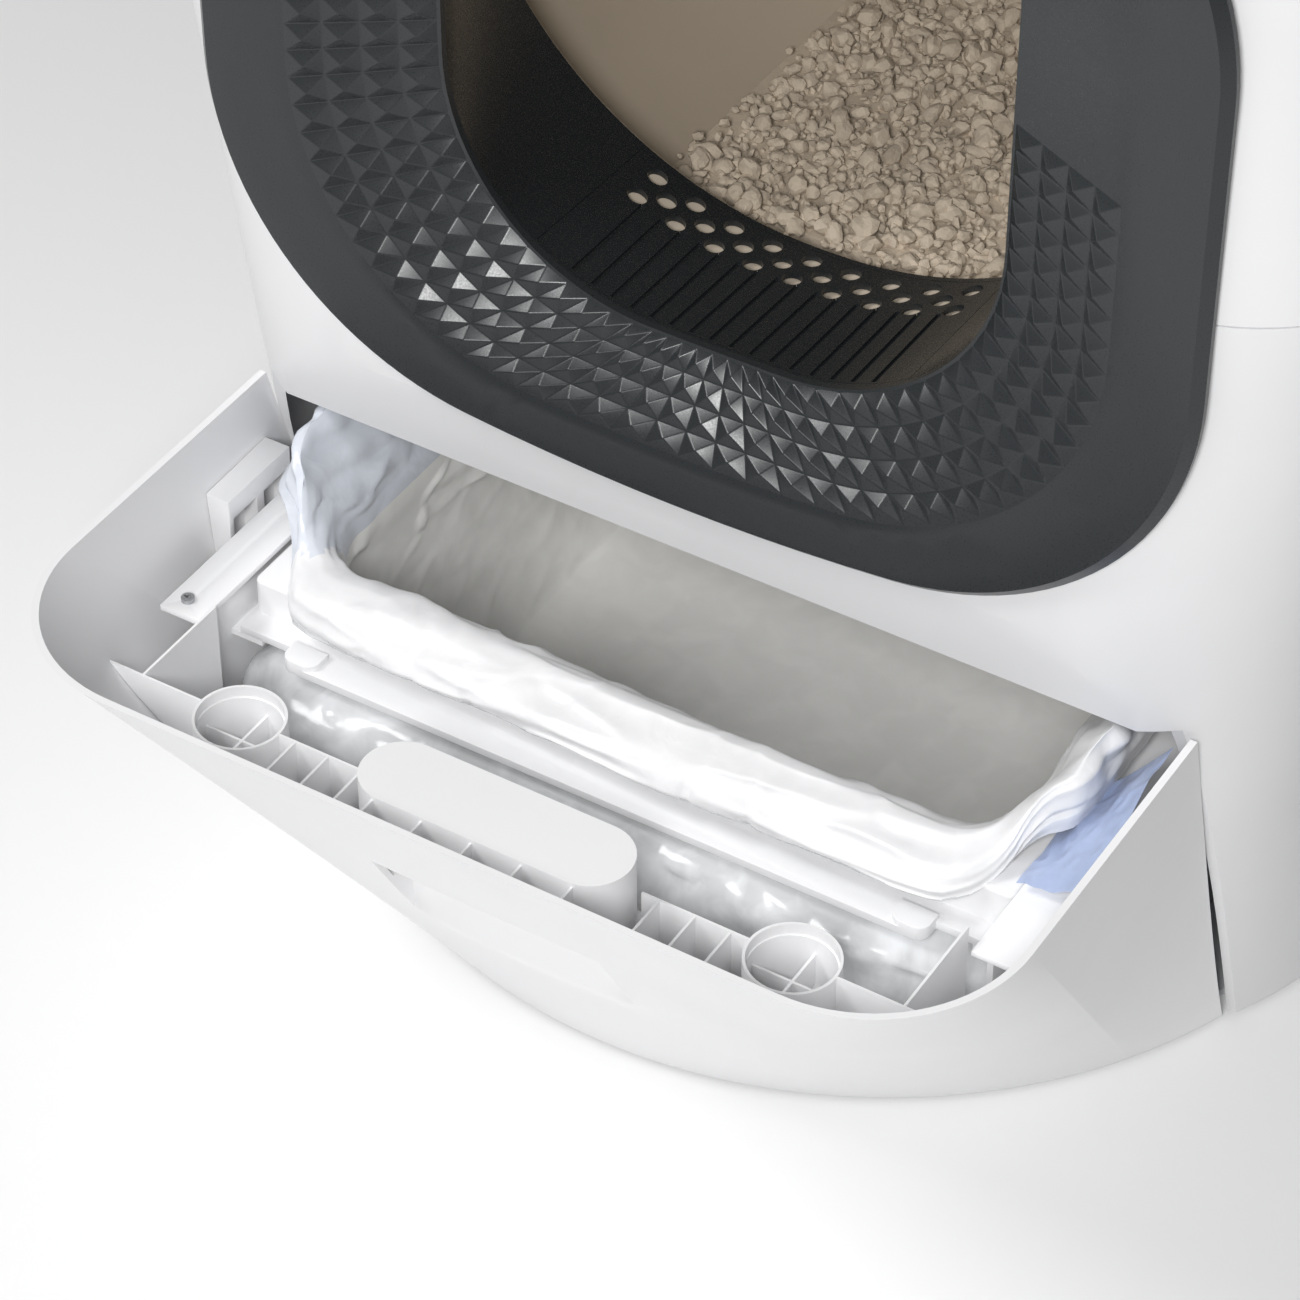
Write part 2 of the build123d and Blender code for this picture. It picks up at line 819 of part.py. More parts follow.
def make_feet():
    feet = [rod_along_z(x, y, foot_radius, 0, pan_z) for x, y in foot_places]
    return Compound([chamfer(foot.edges().group_by(Axis.Z)[0], 1.5).solid() for foot in feet])


def make_load_cells():
    half = cell_size / 2
    cells = []
    for x, y in foot_places:
        cell = block_between(x - half, x + half, y - half, y + half, pan_top, pan_top + cell_thickness)
        slot = block_between(x - half + 6, x + half - 6, y - 4, y - 1, pan_top - 1, pan_top + 9)
        cells.append((cell - slot).solid())
    return Compound(cells)


# Drawer: boat-shaped front, bin, ribs, cups and the bag frame

@lru_cache
def hull_solid(inset):
    half = rim_half_width - inset
    front = rim_front_y + inset
    corner = rim_corner - inset
    rim = [
        Line((-half, hull_back_y), (-half, front + corner)),
        CenterArc((-half + corner, front + corner), corner, 180, 90),
        Line((-half + corner, front), (half - corner, front)),
        CenterArc((half - corner, front + corner), corner, 270, 90),
        Line((half, front + corner), (half, hull_back_y)),
        Line((half, hull_back_y), (-half, hull_back_y)),
    ]
    radius = floor_radius - inset
    start = 180 + math.degrees(math.asin((floor_centre_y - hull_back_y) / radius))
    turns = [start, 213.0, 252.0, 288.0, 327.0, 540.0 - start]
    centre = (0, floor_centre_y)
    floor = [CenterArc(centre, radius, a, b - a) for a, b in zip(turns, turns[1:])]
    end = math.sqrt(radius**2 - (floor_centre_y - hull_back_y) ** 2)
    floor.append(Line((end, hull_back_y), (-end, hull_back_y)))
    return loft([Pos(0, 0, floor_gap) * make_face(floor), Pos(0, 0, rim_z) * make_face(rim)], ruled=True)


def ahead_of_seam():
    lean = (seam_top_y - seam_gap_top - seam_foot_y + seam_gap_foot) / rim_z
    foot = seam_foot_y - seam_gap_foot
    high = rim_z + 20
    side = [(-far, -20), (foot - 20 * lean, -20), (foot + lean * high, high), (-far, high)]
    return extrude(Plane.YZ.offset(-far) * make_face(Polyline(side, close=True)), amount=2 * far)


def stadium(half_length, width, z0, z1, y):
    return extrude(Pos(0, y, z0) * SlotOverall(2 * half_length, width), amount=z1 - z0)


def make_drawer_front():
    outer = hull_solid(0)
    inner = hull_solid(drawer_wall)
    block = stadium(block_half_length, block_width, block_floor_z, block_top_z, block_y)
    cavity = stadium(
        block_half_length - block_wall,
        block_width - 2 * block_wall,
        block_floor_z + block_wall,
        block_top_z - block_wall,
        block_y,
    )
    cavity = cavity & inner
    front = (outer - inner) & ahead_of_seam()
    half = rib_thickness / 2
    rib_top = block_top_z - front_rib_drop
    stiff = block
    for i in range(front_rib_count):
        x = (i - (front_rib_count - 1) / 2) * front_rib_pitch
        stiff += block_between(x - half, x + half, rim_front_y, block_y, grip_top_z, rib_top)
    case_half = grip_half_width + block_wall
    shelf = grip_top_z + block_wall
    stiff += block_between(-case_half, case_half, rim_front_y, block_y, block_floor_z, shelf)
    stiff += block_between(
        -case_half, case_half, rim_front_y, grip_y + block_wall, grip_foot_z - block_wall, shelf
    )
    for side in (-1, 1):
        for z in nib_heights:
            wall_x = side * rim_half_width
            tip_x = side * (rim_half_width - nib_from_rim)
            nib = make_face(Polyline([(tip_x, z), (wall_x, z), (wall_x, z + nib_height)], close=True))
            stiff += prism_along_y(nib, nib_y - nib_half_width, nib_y + nib_half_width)
    grip = block_between(-grip_half_width, grip_half_width, -far, grip_y, grip_foot_z, grip_top_z)
    return front + (stiff & outer) - cavity - grip


def make_rib_pieces(side):
    room = hull_solid(drawer_wall + fit_gap)
    half = rib_thickness / 2
    start = block_half_length + fit_gap
    ribs = block_between(start, cup_x, rib_wall_y - half, rib_wall_y + half, 0, rib_top_z)
    for i in range(rib_count):
        x = block_half_length + rib_first + i * rib_pitch
        ribs += block_between(x - half, x + half, rim_front_y, rib_wall_y, 0, rib_top_z)
    gusset = block_between(cup_x, rim_half_width, rib_wall_y - half, rib_wall_y + half, 0, rib_top_z)
    gusset += block_between(
        gusset_x - half, gusset_x + half, rib_wall_y, bin_front_y - 2, gusset_foot_z, rib_top_z
    )
    around_cup = rod_along_z(cup_x, rib_wall_y, cup_radius + slip, 0, rim_z)
    cup = rod_along_z(cup_x, rib_wall_y, cup_radius, cup_floor_z - cup_base, rib_top_z)
    cup -= rod_along_z(cup_x, rib_wall_y, cup_radius - cup_wall, cup_floor_z, rib_top_z + 5)
    cup -= rod_along_z(cup_x, rib_wall_y, cup_radius - cup_lip_wall, rib_top_z - cup_lip_depth, rib_top_z + 5)
    cross_top = rib_top_z - cross_drop
    cross_low = cup_floor_z - cup_wall
    for deg in (0, 90):
        cross = Rot(0, 0, deg) * Box(2 * cup_radius - cup_wall, rib_thickness, cross_top - cross_low)
        cup += Pos(cup_x, rib_wall_y, (cross_top + cross_low) / 2) * cross
    pieces = []
    for shape in ((ribs - around_cup) & room, cup & room, (gusset - around_cup) & room):
        solid = shape.solids().sort_by(SortBy.VOLUME)[-1]
        pieces.append(solid if side > 0 else mirror(solid, Plane.YZ))
    return pieces


def make_bin():
    outer = block_between(-bin_half_width, bin_half_width, bin_front_y, bin_back_y, bin_floor_z, bin_top_z)
    inner_half = bin_half_width - bin_wall
    inner_back = bin_back_y - bin_wall
    inner_floor = bin_floor_z + bin_wall
    outer -= block_between(-inner_half, inner_half, bin_front_y - 10, inner_back, inner_floor, bin_top_z + 10)
    ledge_z = frame_top_z - frame_height
    for side in (-1, 1):
        x0, x1 = sorted((side * (inner_half - ledge_width), side * inner_half))
        outer += block_between(x0, x1, frame_front_y, frame_back_y, ledge_z - ledge_thickness, ledge_z)
    room = hull_solid(drawer_wall + fit_gap) + block_between(-far, far, hull_back_y - 20, far, 0, far)
    return outer & room


def make_bag_frame():
    low = frame_top_z - frame_height
    front_inner = frame_front_y + frame_bar
    back_inner = frame_back_y - frame_side
    side_inner = frame_half_width - frame_side
    frame = block_between(-frame_half_width, frame_half_width, bar_front_y, frame_back_y, low, frame_top_z)
    frame = fillet(frame.edges().filter_by(Axis.Z), 4)
    frame = fillet(frame.faces().sort_by(Axis.Z)[-1].edges(), 2)
    frame -= block_between(-side_inner, side_inner, front_inner, back_inner, low - 5, frame_top_z + 5)
    frame -= block_between(
        frame_skin - frame_half_width,
        frame_half_width - frame_skin,
        bar_front_y + frame_skin,
        front_inner - frame_skin,
        low - 5,
        frame_top_z - frame_skin,
    )
    flange_back = bar_front_y + frame_skin
    flange_top = low + flange_thickness
    frame += block_between(-frame_half_width, frame_half_width, frame_front_y, flange_back, low, flange_top)
    tab_front = frame_front_y - tab_reach
    frame += block_between(-tab_x, tab_x, tab_front, flange_back, low, flange_top)
    for side in (-1, 1):
        x = side * tab_x
        tab = block_between(
            x - tab_half_width, x + tab_half_width, tab_front, frame_front_y + 2, low, low + tab_height
        )
        frame += fillet(tab.edges().filter_by(Axis.Z).group_by(Axis.Y)[0], 6)
    return frame


def make_strip(side):
    outer_x = strip_inner_x + strip_width
    top = bin_top_z + strip_thickness
    strip = block_between(strip_inner_x, outer_x, strip_front_y, strip_back_y, bin_top_z, top)
    if side > 0:
        return strip
    for y in (strip_front_y, strip_back_y):
        strip -= rod_along_z(strip_screw_x, screw_y(y), screw_shank_radius + slip, 0, rim_z)
    return mirror(strip, Plane.YZ)


def screw_y(end_y):
    return end_y + strip_screw_end if end_y < 0 else end_y - strip_screw_end


def make_strip_screws():
    top = bin_top_z + strip_thickness
    screws = []
    x = -strip_screw_x
    for y in (screw_y(strip_front_y), screw_y(strip_back_y)):
        head = rod_along_z(x, y, screw_head_radius, top, top + screw_head_height)
        for half_x, half_y in ((cross_half_length, cross_half_width), (cross_half_width, cross_half_length)):
            head -= block_between(x - half_x, x + half_x, y - half_y, y + half_y, top + cross_floor, top + 9)
        shank = rod_along_z(x, y, screw_shank_radius, bin_top_z - strip_screw_grip, top)
        screws.append((head + shank).solid())
    return Compound(screws)


def make_catch(side):
    room = hull_solid(drawer_wall + fit_gap)
    outer_x = catch_x + catch_depth + 6
    box = block_between(catch_x, outer_x, catch_front_y, catch_back_y, catch_low_z, catch_high_z) & room
    for centre in (-catch_window_offset, catch_window_offset):
        middle = (catch_front_y + catch_back_y) / 2 + centre
        box -= block_between(
            catch_x - 2,
            catch_x + catch_depth - 3,
            middle - catch_window_half,
            middle + catch_window_half,
            catch_low_z + 3,
            catch_high_z - 12,
        )
    box = box.solids().sort_by(SortBy.VOLUME)[-1]
    return box if side > 0 else mirror(box, Plane.YZ)


def bag_body(inset):
    side = frame_half_width - frame_side - bag_clear - inset
    front = frame_front_y + frame_bar + bag_clear + inset
    back = frame_back_y - frame_side - bag_clear - inset
    lift = bag_floor_z + inset
    neck = block_between(-side, side, front, back, lift, frame_top_z + bag_lip_height + 5 * inset)
    belly = block_between(-side, side, belly_front_y + inset, back, lift, belly_top_z - inset)
    belly = fillet(belly.edges().filter_by(Axis.X).group_by(Axis.Y)[0], belly_round)
    room = hull_solid(drawer_wall + 4 + inset) + block_between(-far, far, hull_back_y - 20, far, 0, far)
    return (neck + belly) & (room + slab(belly_top_z, far))


def make_bag():
    low = frame_top_z + fit_gap
    high = frame_top_z + bag_lip_height
    side = frame_half_width - 4
    lip = block_between(-side, side, bar_front_y + 3, frame_back_y - 4, low, high)
    lip = fillet(lip.edges().group_by(Axis.Z)[-1], 6)
    front = bar_front_y + 3 + bag_wall
    back = frame_back_y - 4 - bag_wall
    roll = block_between(bag_wall - side, side - bag_wall, front, back, low - 5, high - bag_wall)
    lip -= fillet(roll.edges().group_by(Axis.Z)[-1], 5)
    return lip + bag_body(0) - bag_body(bag_wall)


# Power inlet, control board, control panel and buttons

def make_inlet():
    wall_inner = body_back_y - 2.0 - wall
    jack = rod_along_y(inlet_x, inlet_z, inlet_radius, wall_inner - 14, wall_inner + wall)
    jack += rod_along_y(inlet_x, inlet_z, inlet_radius + 4, wall_inner - 5, wall_inner - 1)
    jack -= rod_along_y(inlet_x, inlet_z, inlet_bore, wall_inner - 6, wall_inner + 10)
    return jack + rod_along_y(inlet_x, inlet_z, inlet_pin, wall_inner - 8, wall_inner + wall - 2)


def make_board():
    x0 = board_x
    x1 = board_x + board_width
    y0 = board_front_y
    y1 = board_back_y
    top = deck_top + standoff + board_thickness
    board = block_between(x0, x1, y0, y1, deck_top + standoff, top)
    for x in (x0 + 5, x1 - 5):
        for y in (y0 + 5, y1 - 5):
            board += rod_along_z(x, y, 3, deck_top, deck_top + standoff)
    board += block_between(x0 + 12, x0 + 30, y0 + 14, y0 + 40, top, top + 12)
    board += block_between(x0 + 36, x0 + 54, y0 + 30, y0 + 48, top, top + 3)
    for y in (y0 + 62, y0 + 80):
        board += rod_along_z(x0 + 20, y, 5, top, top + 14)
    return board


def panel_outline(extra):
    return SlotOverall(2 * (panel_half_length + extra), panel_width + 2 * extra)


def make_panel():
    inner_top = body_height - wall
    panel = extrude(Pos(0, panel_y, body_height - panel_depth) * panel_outline(0), amount=panel_depth)
    flange = Pos(0, panel_y, body_height - panel_depth) * panel_outline(panel_flange)
    panel += extrude(flange, amount=inner_top - fit_gap - body_height + panel_depth)
    for i in (-1, 0, 1):
        panel -= rod_along_z(i * button_pitch, panel_y, button_radius + slip, 0, body_height + 10)
    return panel


def make_button(index):
    x = index * button_pitch
    under = body_height - panel_depth
    button = rod_along_z(x, panel_y, button_radius, under - 2, body_height + button_proud)
    button = fillet(button.edges().group_by(Axis.Z)[-1], 0.6)
    return button + rod_along_z(x, panel_y, button_radius + 1.8, under - 2, under - slip)


def make_deck_screws():
    screws = []
    for x, y in post_places:
        screws.append(rod_along_z(x, y, deck_screw_radius, deck_top, deck_top + 3).solid())
    return Compound(screws)


def make_drum_screws():
    screws = []
    radius = drum_outer + drum_flange / 2
    head_y = drum_joint_y - drum_wall
    for i in range(drum_screw_count):
        angle = math.radians(drum_screw_from_deg + 360 / drum_screw_count * i)
        x = radius * math.cos(angle)
        z = drum_z + radius * math.sin(angle)
        screws.append(rod_along_y(x, z, drum_screw_radius, head_y - 2.2, head_y).solid())
    return Compound(screws)


def main():
    lower, upper = make_shells()
    tunnel, step = make_tunnel()
    drum_front, drum_rear = make_drum()
    nodes = {
        "base_shell": lower,
        "upper_shell": upper,
        "entry_bezel": make_bezel(),
        "entry_tunnel": tunnel,
        "entry_step": step,
        "mouth_seal": make_mouth_seal(),
        "drum_front": drum_front,
        "drum_rear": drum_rear,
        "drum_screws": make_drum_screws(),
        "ring_gear": make_ring_gear(),
        "sieve_screen": make_sieve(),
        "litter_bed": make_litter(),
        "drive_pinion": make_pinion(),
        "gear_motor": make_gear_motor(),
        "motor_bracket": make_motor_bracket(),
        "roller_brackets": Compound([make_roller_bracket(s, y).solid() for s, y in roller_places]),
        "roller_pins": Compound([make_roller_pin(s, y).solid() for s, y in roller_places]),
        "base_deck": make_deck(),
        "base_pan": make_pan(),
        "deck_posts": make_posts(),
        "deck_screws": make_deck_screws(),
        "drawer_rail_left": make_rail(-1),
        "drawer_rail_right": make_rail(1),
        "rubber_feet": make_feet(),
        "load_cells": make_load_cells(),
        "drawer_front": make_drawer_front(),
        "drawer_bin": make_bin(),
        "bag_frame": make_bag_frame(),
        "bag_strip_left": make_strip(-1),
        "bag_strip_right": make_strip(1),
        "strip_screws": make_strip_screws(),
        "cover_catch_left": make_catch(-1),
        "cover_catch_right": make_catch(1),
        "waste_bag": make_bag(),
        "power_inlet": make_inlet(),
        "control_board": make_board(),
        "control_panel": make_panel(),
    }
    for side, word in ((-1, "left"), (1, "right")):
        pieces = make_rib_pieces(side)
        for name, piece in zip(("rib_set_", "cover_cup_", "gusset_"), pieces):
            nodes[name + word] = piece
    for name, index in (("power_button", -1), ("clean_button", 0), ("level_button", 1)):
        nodes[name] = make_button(index)
    for (side, y), name in zip(roller_places, ("front_left", "back_left", "front_right", "back_right")):
        nodes["roller_" + name] = make_roller(side, y)
    os.makedirs("parts", exist_ok=True)
    for name, shape in nodes.items():
        export_step(shape, f"parts/{name}.step")
        print(name, len(shape.solids()), round(shape.volume))


main()
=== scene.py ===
# %% [markdown]
# A self-cleaning litter box, seen from above its open waste drawer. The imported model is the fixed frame:
# every rigid moulding comes from it, in metres, with X right, Y back and Z up. This script gives each
# moulding its finish, and adds what a solid modeller does badly: the loose film of the waste bag, the clay
# crumbs and the raised pattern on the entry ring.

# %% Load the frame
import math
import random

import bmesh
import bpy
from mathutils import Matrix, Vector, noise


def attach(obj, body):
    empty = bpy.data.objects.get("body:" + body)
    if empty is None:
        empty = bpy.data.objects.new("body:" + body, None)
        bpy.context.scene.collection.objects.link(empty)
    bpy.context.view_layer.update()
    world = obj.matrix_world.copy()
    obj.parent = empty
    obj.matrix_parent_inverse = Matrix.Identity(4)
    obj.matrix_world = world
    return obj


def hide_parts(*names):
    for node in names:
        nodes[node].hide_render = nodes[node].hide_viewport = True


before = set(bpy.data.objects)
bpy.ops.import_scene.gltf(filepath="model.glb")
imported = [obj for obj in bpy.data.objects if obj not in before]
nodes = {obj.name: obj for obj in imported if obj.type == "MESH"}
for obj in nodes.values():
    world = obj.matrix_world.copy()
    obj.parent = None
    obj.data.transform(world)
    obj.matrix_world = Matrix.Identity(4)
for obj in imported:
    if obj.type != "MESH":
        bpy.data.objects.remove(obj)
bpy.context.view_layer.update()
MM = 0.001
print("loaded", len(nodes), "mouldings")

# %% [markdown]
# The camera stands where the photographer stood: in front, to the right and well above the drawer, with a
# long lens. A long lens keeps the drawer's far end almost as large as its near end.

# %% Camera
CAMERA_PLACE = (0.7804, -1.4087, 1.5160)
CAMERA_AIM = (0.0, -0.1465, 0.2003)
LENS_MM = 124.4
SENSOR_MM = 36.0
camera_data = bpy.data.cameras.new("camera")
camera = bpy.data.objects.new("camera", camera_data)
bpy.context.scene.collection.objects.link(camera)
camera.location = CAMERA_PLACE
aim = Vector(CAMERA_AIM) - camera.location
camera.rotation_euler = aim.to_track_quat("-Z", "Y").to_euler()
camera_data.lens = LENS_MM
camera_data.sensor_width = SENSOR_MM
camera_data.clip_end = 50.0
bpy.context.scene.camera = camera
bpy.context.scene.view_settings.view_transform = "Standard"
print("camera with a", LENS_MM, "mm lens")

# %% [markdown]
# Colours are written as hex values, as a designer would, and turned to linear light once, here. One helper
# adds a node, sets it and links it. It reads almost like the node editor: kind, what goes in, settings.

# %% Colour and node helpers


def linear(code):
    channels = []
    for i in (0, 2, 4):
        value = int(code[i:i + 2], 16) / 255
        if value <= 0.04045:
            channels.append(value / 12.92)
        else:
            channels.append(((value + 0.055) / 1.055) ** 2.4)
    return (*channels, 1.0)


def add_node(tree, kind, inputs=None, **settings):
    made = tree.nodes.new(kind)
    for name, value in settings.items():
        setattr(made, name, value)
    for key, value in (inputs or {}).items():
        if isinstance(value, bpy.types.NodeSocket):
            tree.links.new(value, made.inputs[key])
        else:
            made.inputs[key].default_value = value
    return made


def empty_material(name):
    material = bpy.data.materials.new(name)
    material.use_nodes = True
    material.node_tree.nodes.clear()
    return material, material.node_tree


# %% [markdown]
# Most of the box is injection-moulded plastic. Its mould was spark-eroded, which leaves a fine, even grain
# that softens reflections, and thick and thin places cool differently, which gives faint clouds of tone.
# The grain of the real mould is about 0.3 mm. It is drawn at 0.7 mm or more, so that it still shows in the
# render.

# %% Moulded plastics
PLASTIC_IOR = 1.5
CLOUDS_PER_METRE = 9.0
GRAIN_STRENGTH = 0.35
GLOSS_SPREAD = 0.04


def moulded_plastic(name, colour, roughness, grain_mm, grain_depth_mm, cloud=0.02, coat=0.0):
    material, tree = empty_material(name)
    place = add_node(tree, "ShaderNodeTexCoord").outputs["Object"]
    grain = add_node(
        tree, "ShaderNodeTexNoise", {"Vector": place, "Scale": 1 / (grain_mm * MM), "Detail": 2.0}
    )
    clouds = add_node(tree, "ShaderNodeTexNoise", {"Vector": place, "Scale": CLOUDS_PER_METRE, "Detail": 3.0})
    tone = add_node(
        tree,
        "ShaderNodeMapRange",
        {
            "Value": clouds.outputs["Fac"],
            "From Min": 0.3,
            "From Max": 0.7,
            "To Min": 1 - cloud,
            "To Max": 1 + cloud,
        },
    )
    paint = add_node(
        tree, "ShaderNodeHueSaturation", {"Color": linear(colour), "Value": tone.outputs["Result"]}
    )
    sheen = add_node(
        tree,
        "ShaderNodeMapRange",
        {
            "Value": grain.outputs["Fac"],
            "From Min": 0.3,
            "From Max": 0.7,
            "To Min": roughness - GLOSS_SPREAD,
            "To Max": roughness + GLOSS_SPREAD,
        },
    )
    bump = add_node(
        tree,
        "ShaderNodeBump",
        {"Height": grain.outputs["Fac"], "Strength": GRAIN_STRENGTH, "Distance": grain_depth_mm * MM},
    )
    surface = add_node(
        tree,
        "ShaderNodeBsdfPrincipled",
        {
            "Base Color": paint.outputs["Color"],
            "Roughness": sheen.outputs["Result"],
            "IOR": PLASTIC_IOR,
            "Coat Weight": coat,
            "Coat Roughness": 0.2,
            "Normal": bump.outputs["Normal"],
        },
    )
    add_node(tree, "ShaderNodeOutputMaterial", {"Surface": surface.outputs["BSDF"]})
    return material


# White ABS with a satin grain: bright, and soft in its highlights
shell_white = moulded_plastic("abs_white_shell", "E8E8E9", 0.42, 0.8, 0.05)
drawer_white = moulded_plastic("abs_white_drawer", "F2F2F3", 0.38, 0.8, 0.04)
# Charcoal ABS: dark, with a low gloss that shows long soft reflections
bezel_charcoal = moulded_plastic("abs_charcoal_ring", "272A2C", 0.3, 0.7, 0.03, 0.03)
# Black polypropylene: smoother, so the tunnel mirrors the light above it
tunnel_black = moulded_plastic("pp_black_tunnel", "212426", 0.27, 0.9, 0.02, 0.04)
# Greige polypropylene: the drum's wall, slightly waxy, its colour darkened as painted shade for the shade
# inside the drum
drum_greige_painted_shade = moulded_plastic("pp_greige_drum_painted_shade", "B6A997", 0.45, 1.1, 0.05, 0.03)
# Soft silicone in the drum's colour
seal_silicone = moulded_plastic("silicone_beige_seal", "C8BBA9", 0.6, 1.0, 0.04)
# Rubber for the feet and the rollers' tyres, dull
rubber_black = moulded_plastic("rubber_black", "26272A", 0.75, 1.2, 0.08)
# Natural nylon for the gears, creamy
nylon_natural = moulded_plastic("nylon_natural", "E4DFD2", 0.4, 0.9, 0.03)
# Grey polypropylene for the hidden chassis
chassis_grey = moulded_plastic("pp_grey_chassis", "CDCFD1", 0.5, 1.0, 0.05)
# Glass-fibre board under green lacquer
board_green = moulded_plastic("fr4_green_board", "1E5A38", 0.35, 1.4, 0.02)
# Black acrylic for the control panel, with a polished face
panel_black = moulded_plastic("pmma_black_panel", "141517", 0.12, 3.0, 0.005, 0.02, 0.6)
# Grey ABS for the button caps
button_grey = moulded_plastic("abs_grey_button", "B9BCC0", 0.34, 0.8, 0.03)
print("plastics from", shell_white.name, "to", button_grey.name)

# %% [markdown]
# A few small parts are metal: zinc-plated screws and pins, a steel bracket and the motor's drawn can. Metal
# keeps the default IOR. Fine streaks along Z stand for rolling and drawing marks.

# %% Metals
STREAK_MM = 0.6
STREAK_STRETCH = (1.0, 1.0, 0.08)


def drawn_metal(name, colour, roughness):
    material, tree = empty_material(name)
    place = add_node(tree, "ShaderNodeTexCoord").outputs["Object"]
    stretch = add_node(tree, "ShaderNodeMapping", {"Vector": place, "Scale": STREAK_STRETCH})
    streaks = add_node(
        tree,
        "ShaderNodeTexNoise",
        {"Vector": stretch.outputs["Vector"], "Scale": 1 / (STREAK_MM * MM), "Detail": 3.0},
    )
    sheen = add_node(
        tree,
        "ShaderNodeMapRange",
        {"Value": streaks.outputs["Fac"], "To Min": roughness - 0.08, "To Max": roughness + 0.12},
    )
    surface = add_node(
        tree,
        "ShaderNodeBsdfPrincipled",
        {"Base Color": linear(colour), "Metallic": 1.0, "Roughness": sheen.outputs["Result"]},
    )
    add_node(tree, "ShaderNodeOutputMaterial", {"Surface": surface.outputs["BSDF"]})
    return material


zinc_steel = drawn_metal("zinc_plated_steel", "B9BABC", 0.32)
motor_alloy = drawn_metal("aluminium_drawn", "C2C4C8", 0.35)
print("metals", zinc_steel.name, motor_alloy.name)

# %% [markdown]
# Clay litter is crushed bentonite: every crumb has its own tone, and its faces are chalky and pitted. A
# Voronoi texture gives each crumb-sized cell a tone, and a finer noise gives the pits.

# %% Clay
CLAY_CELL_MM = 9
CLAY_PIT_MM = 1.2
CLAY_PIT_DEPTH_MM = 0.5


def crushed_clay_painted_shade(name):
    material, tree = empty_material(name)
    place = add_node(tree, "ShaderNodeTexCoord").outputs["Object"]
    cells = add_node(tree, "ShaderNodeTexVoronoi", {"Vector": place, "Scale": 1 / (CLAY_CELL_MM * MM)})
    pits = add_node(
        tree, "ShaderNodeTexNoise", {"Vector": place, "Scale": 1 / (CLAY_PIT_MM * MM), "Detail": 4.0}
    )
    split = add_node(tree, "ShaderNodeSeparateColor", {"Color": cells.outputs["Color"]})
    tone = add_node(
        tree, "ShaderNodeMapRange", {"Value": split.outputs["Red"], "To Min": 0.84, "To Max": 1.06}
    )
    # The base colour is darker than the clay's own: painted shade, for the shade on the litter deep inside
    # the drum
    paint = add_node(
        tree, "ShaderNodeHueSaturation", {"Color": linear("C3B5A2"), "Value": tone.outputs["Result"]}
    )
    bump = add_node(
        tree,
        "ShaderNodeBump",
        {"Height": pits.outputs["Fac"], "Strength": 0.7, "Distance": CLAY_PIT_DEPTH_MM * MM},
    )
    surface = add_node(
        tree,
        "ShaderNodeBsdfPrincipled",
        {"Base Color": paint.outputs["Color"], "Roughness": 0.95, "Normal": bump.outputs["Normal"]},
    )
    add_node(tree, "ShaderNodeOutputMaterial", {"Surface": surface.outputs["BSDF"]})
    return material


clay = crushed_clay_painted_shade("bentonite_clay_painted_shade")
print("clay", clay.name)

# %% [markdown]
# The bag is blown polyethylene film. Where it hangs free it is half clear. Where it is rolled, many layers
# lie over each other and it turns milky white, and where it lies on the white bin it takes the bin's
# colour. Alpha stands for how many layers there are, and a crease noise makes the folds whiter than the
# flats.

# %% Film
FILM_IOR = 1.5
FILM_CREASES_PER_METRE = 45.0
FILM_CREASE_DEPTH_MM = 3


def blown_film(name, colour, thinnest, thickest, roughness, wrinkle):
    material, tree = empty_material(name)
    place = add_node(tree, "ShaderNodeTexCoord").outputs["Object"]
    creases = add_node(
        tree,
        "ShaderNodeTexNoise",
        {
            "Vector": place,
            "Scale": FILM_CREASES_PER_METRE,
            "Detail": 3.0,
            "Roughness": 0.5,
            "Distortion": 0.6,
        },
    )
    cover = add_node(
        tree,
        "ShaderNodeMapRange",
        {
            "Value": creases.outputs["Fac"],
            "From Min": 0.42,
            "From Max": 0.68,
            "To Min": thinnest,
            "To Max": thickest,
        },
    )
    bump = add_node(
        tree,
        "ShaderNodeBump",
        {"Height": creases.outputs["Fac"], "Strength": wrinkle, "Distance": FILM_CREASE_DEPTH_MM * MM},
    )
    surface = add_node(
        tree,
        "ShaderNodeBsdfPrincipled",
        {
            "Base Color": linear(colour),
            "Roughness": roughness,
            "IOR": FILM_IOR,
            "Alpha": cover.outputs["Result"],
            "Coat Weight": 0.5,
            "Coat Roughness": 0.12,
            "Normal": bump.outputs["Normal"],
        },
    )
    add_node(tree, "ShaderNodeOutputMaterial", {"Surface": surface.outputs["BSDF"]})
    return material


# Rolled in many layers, lying on the bin, bellying out in two layers, and the two tinted ends
film_milky = blown_film("pe_film_rolled", "F4F4F5", 0.94, 1.0, 0.34, 0.25)
film_lining = blown_film("pe_film_on_white", "FBFAF7", 0.94, 1.0, 0.3, 0.06)
film_belly = blown_film("pe_film_double", "F2F4F6", 0.62, 0.86, 0.22, 0.25)
film_blue = blown_film("pe_film_blue", "B0BFE2", 0.82, 0.98, 0.3, 0.25)
film_tinted = blown_film("pe_film_tinted", "E7ECF5", 0.85, 1.0, 0.3, 0.25)
films = (film_milky, film_lining, film_belly, film_blue, film_tinted)
print("films", *[film.name for film in films])

# %% [markdown]
# A moulding's mesh arrives as loose triangles. A small node group joins them and shades them smooth, except
# across edges sharper than 32 degrees.

# %% Smooth shading for the mouldings
JOIN_DISTANCE = 1e-6
SHARP_ANGLE = math.radians(32)


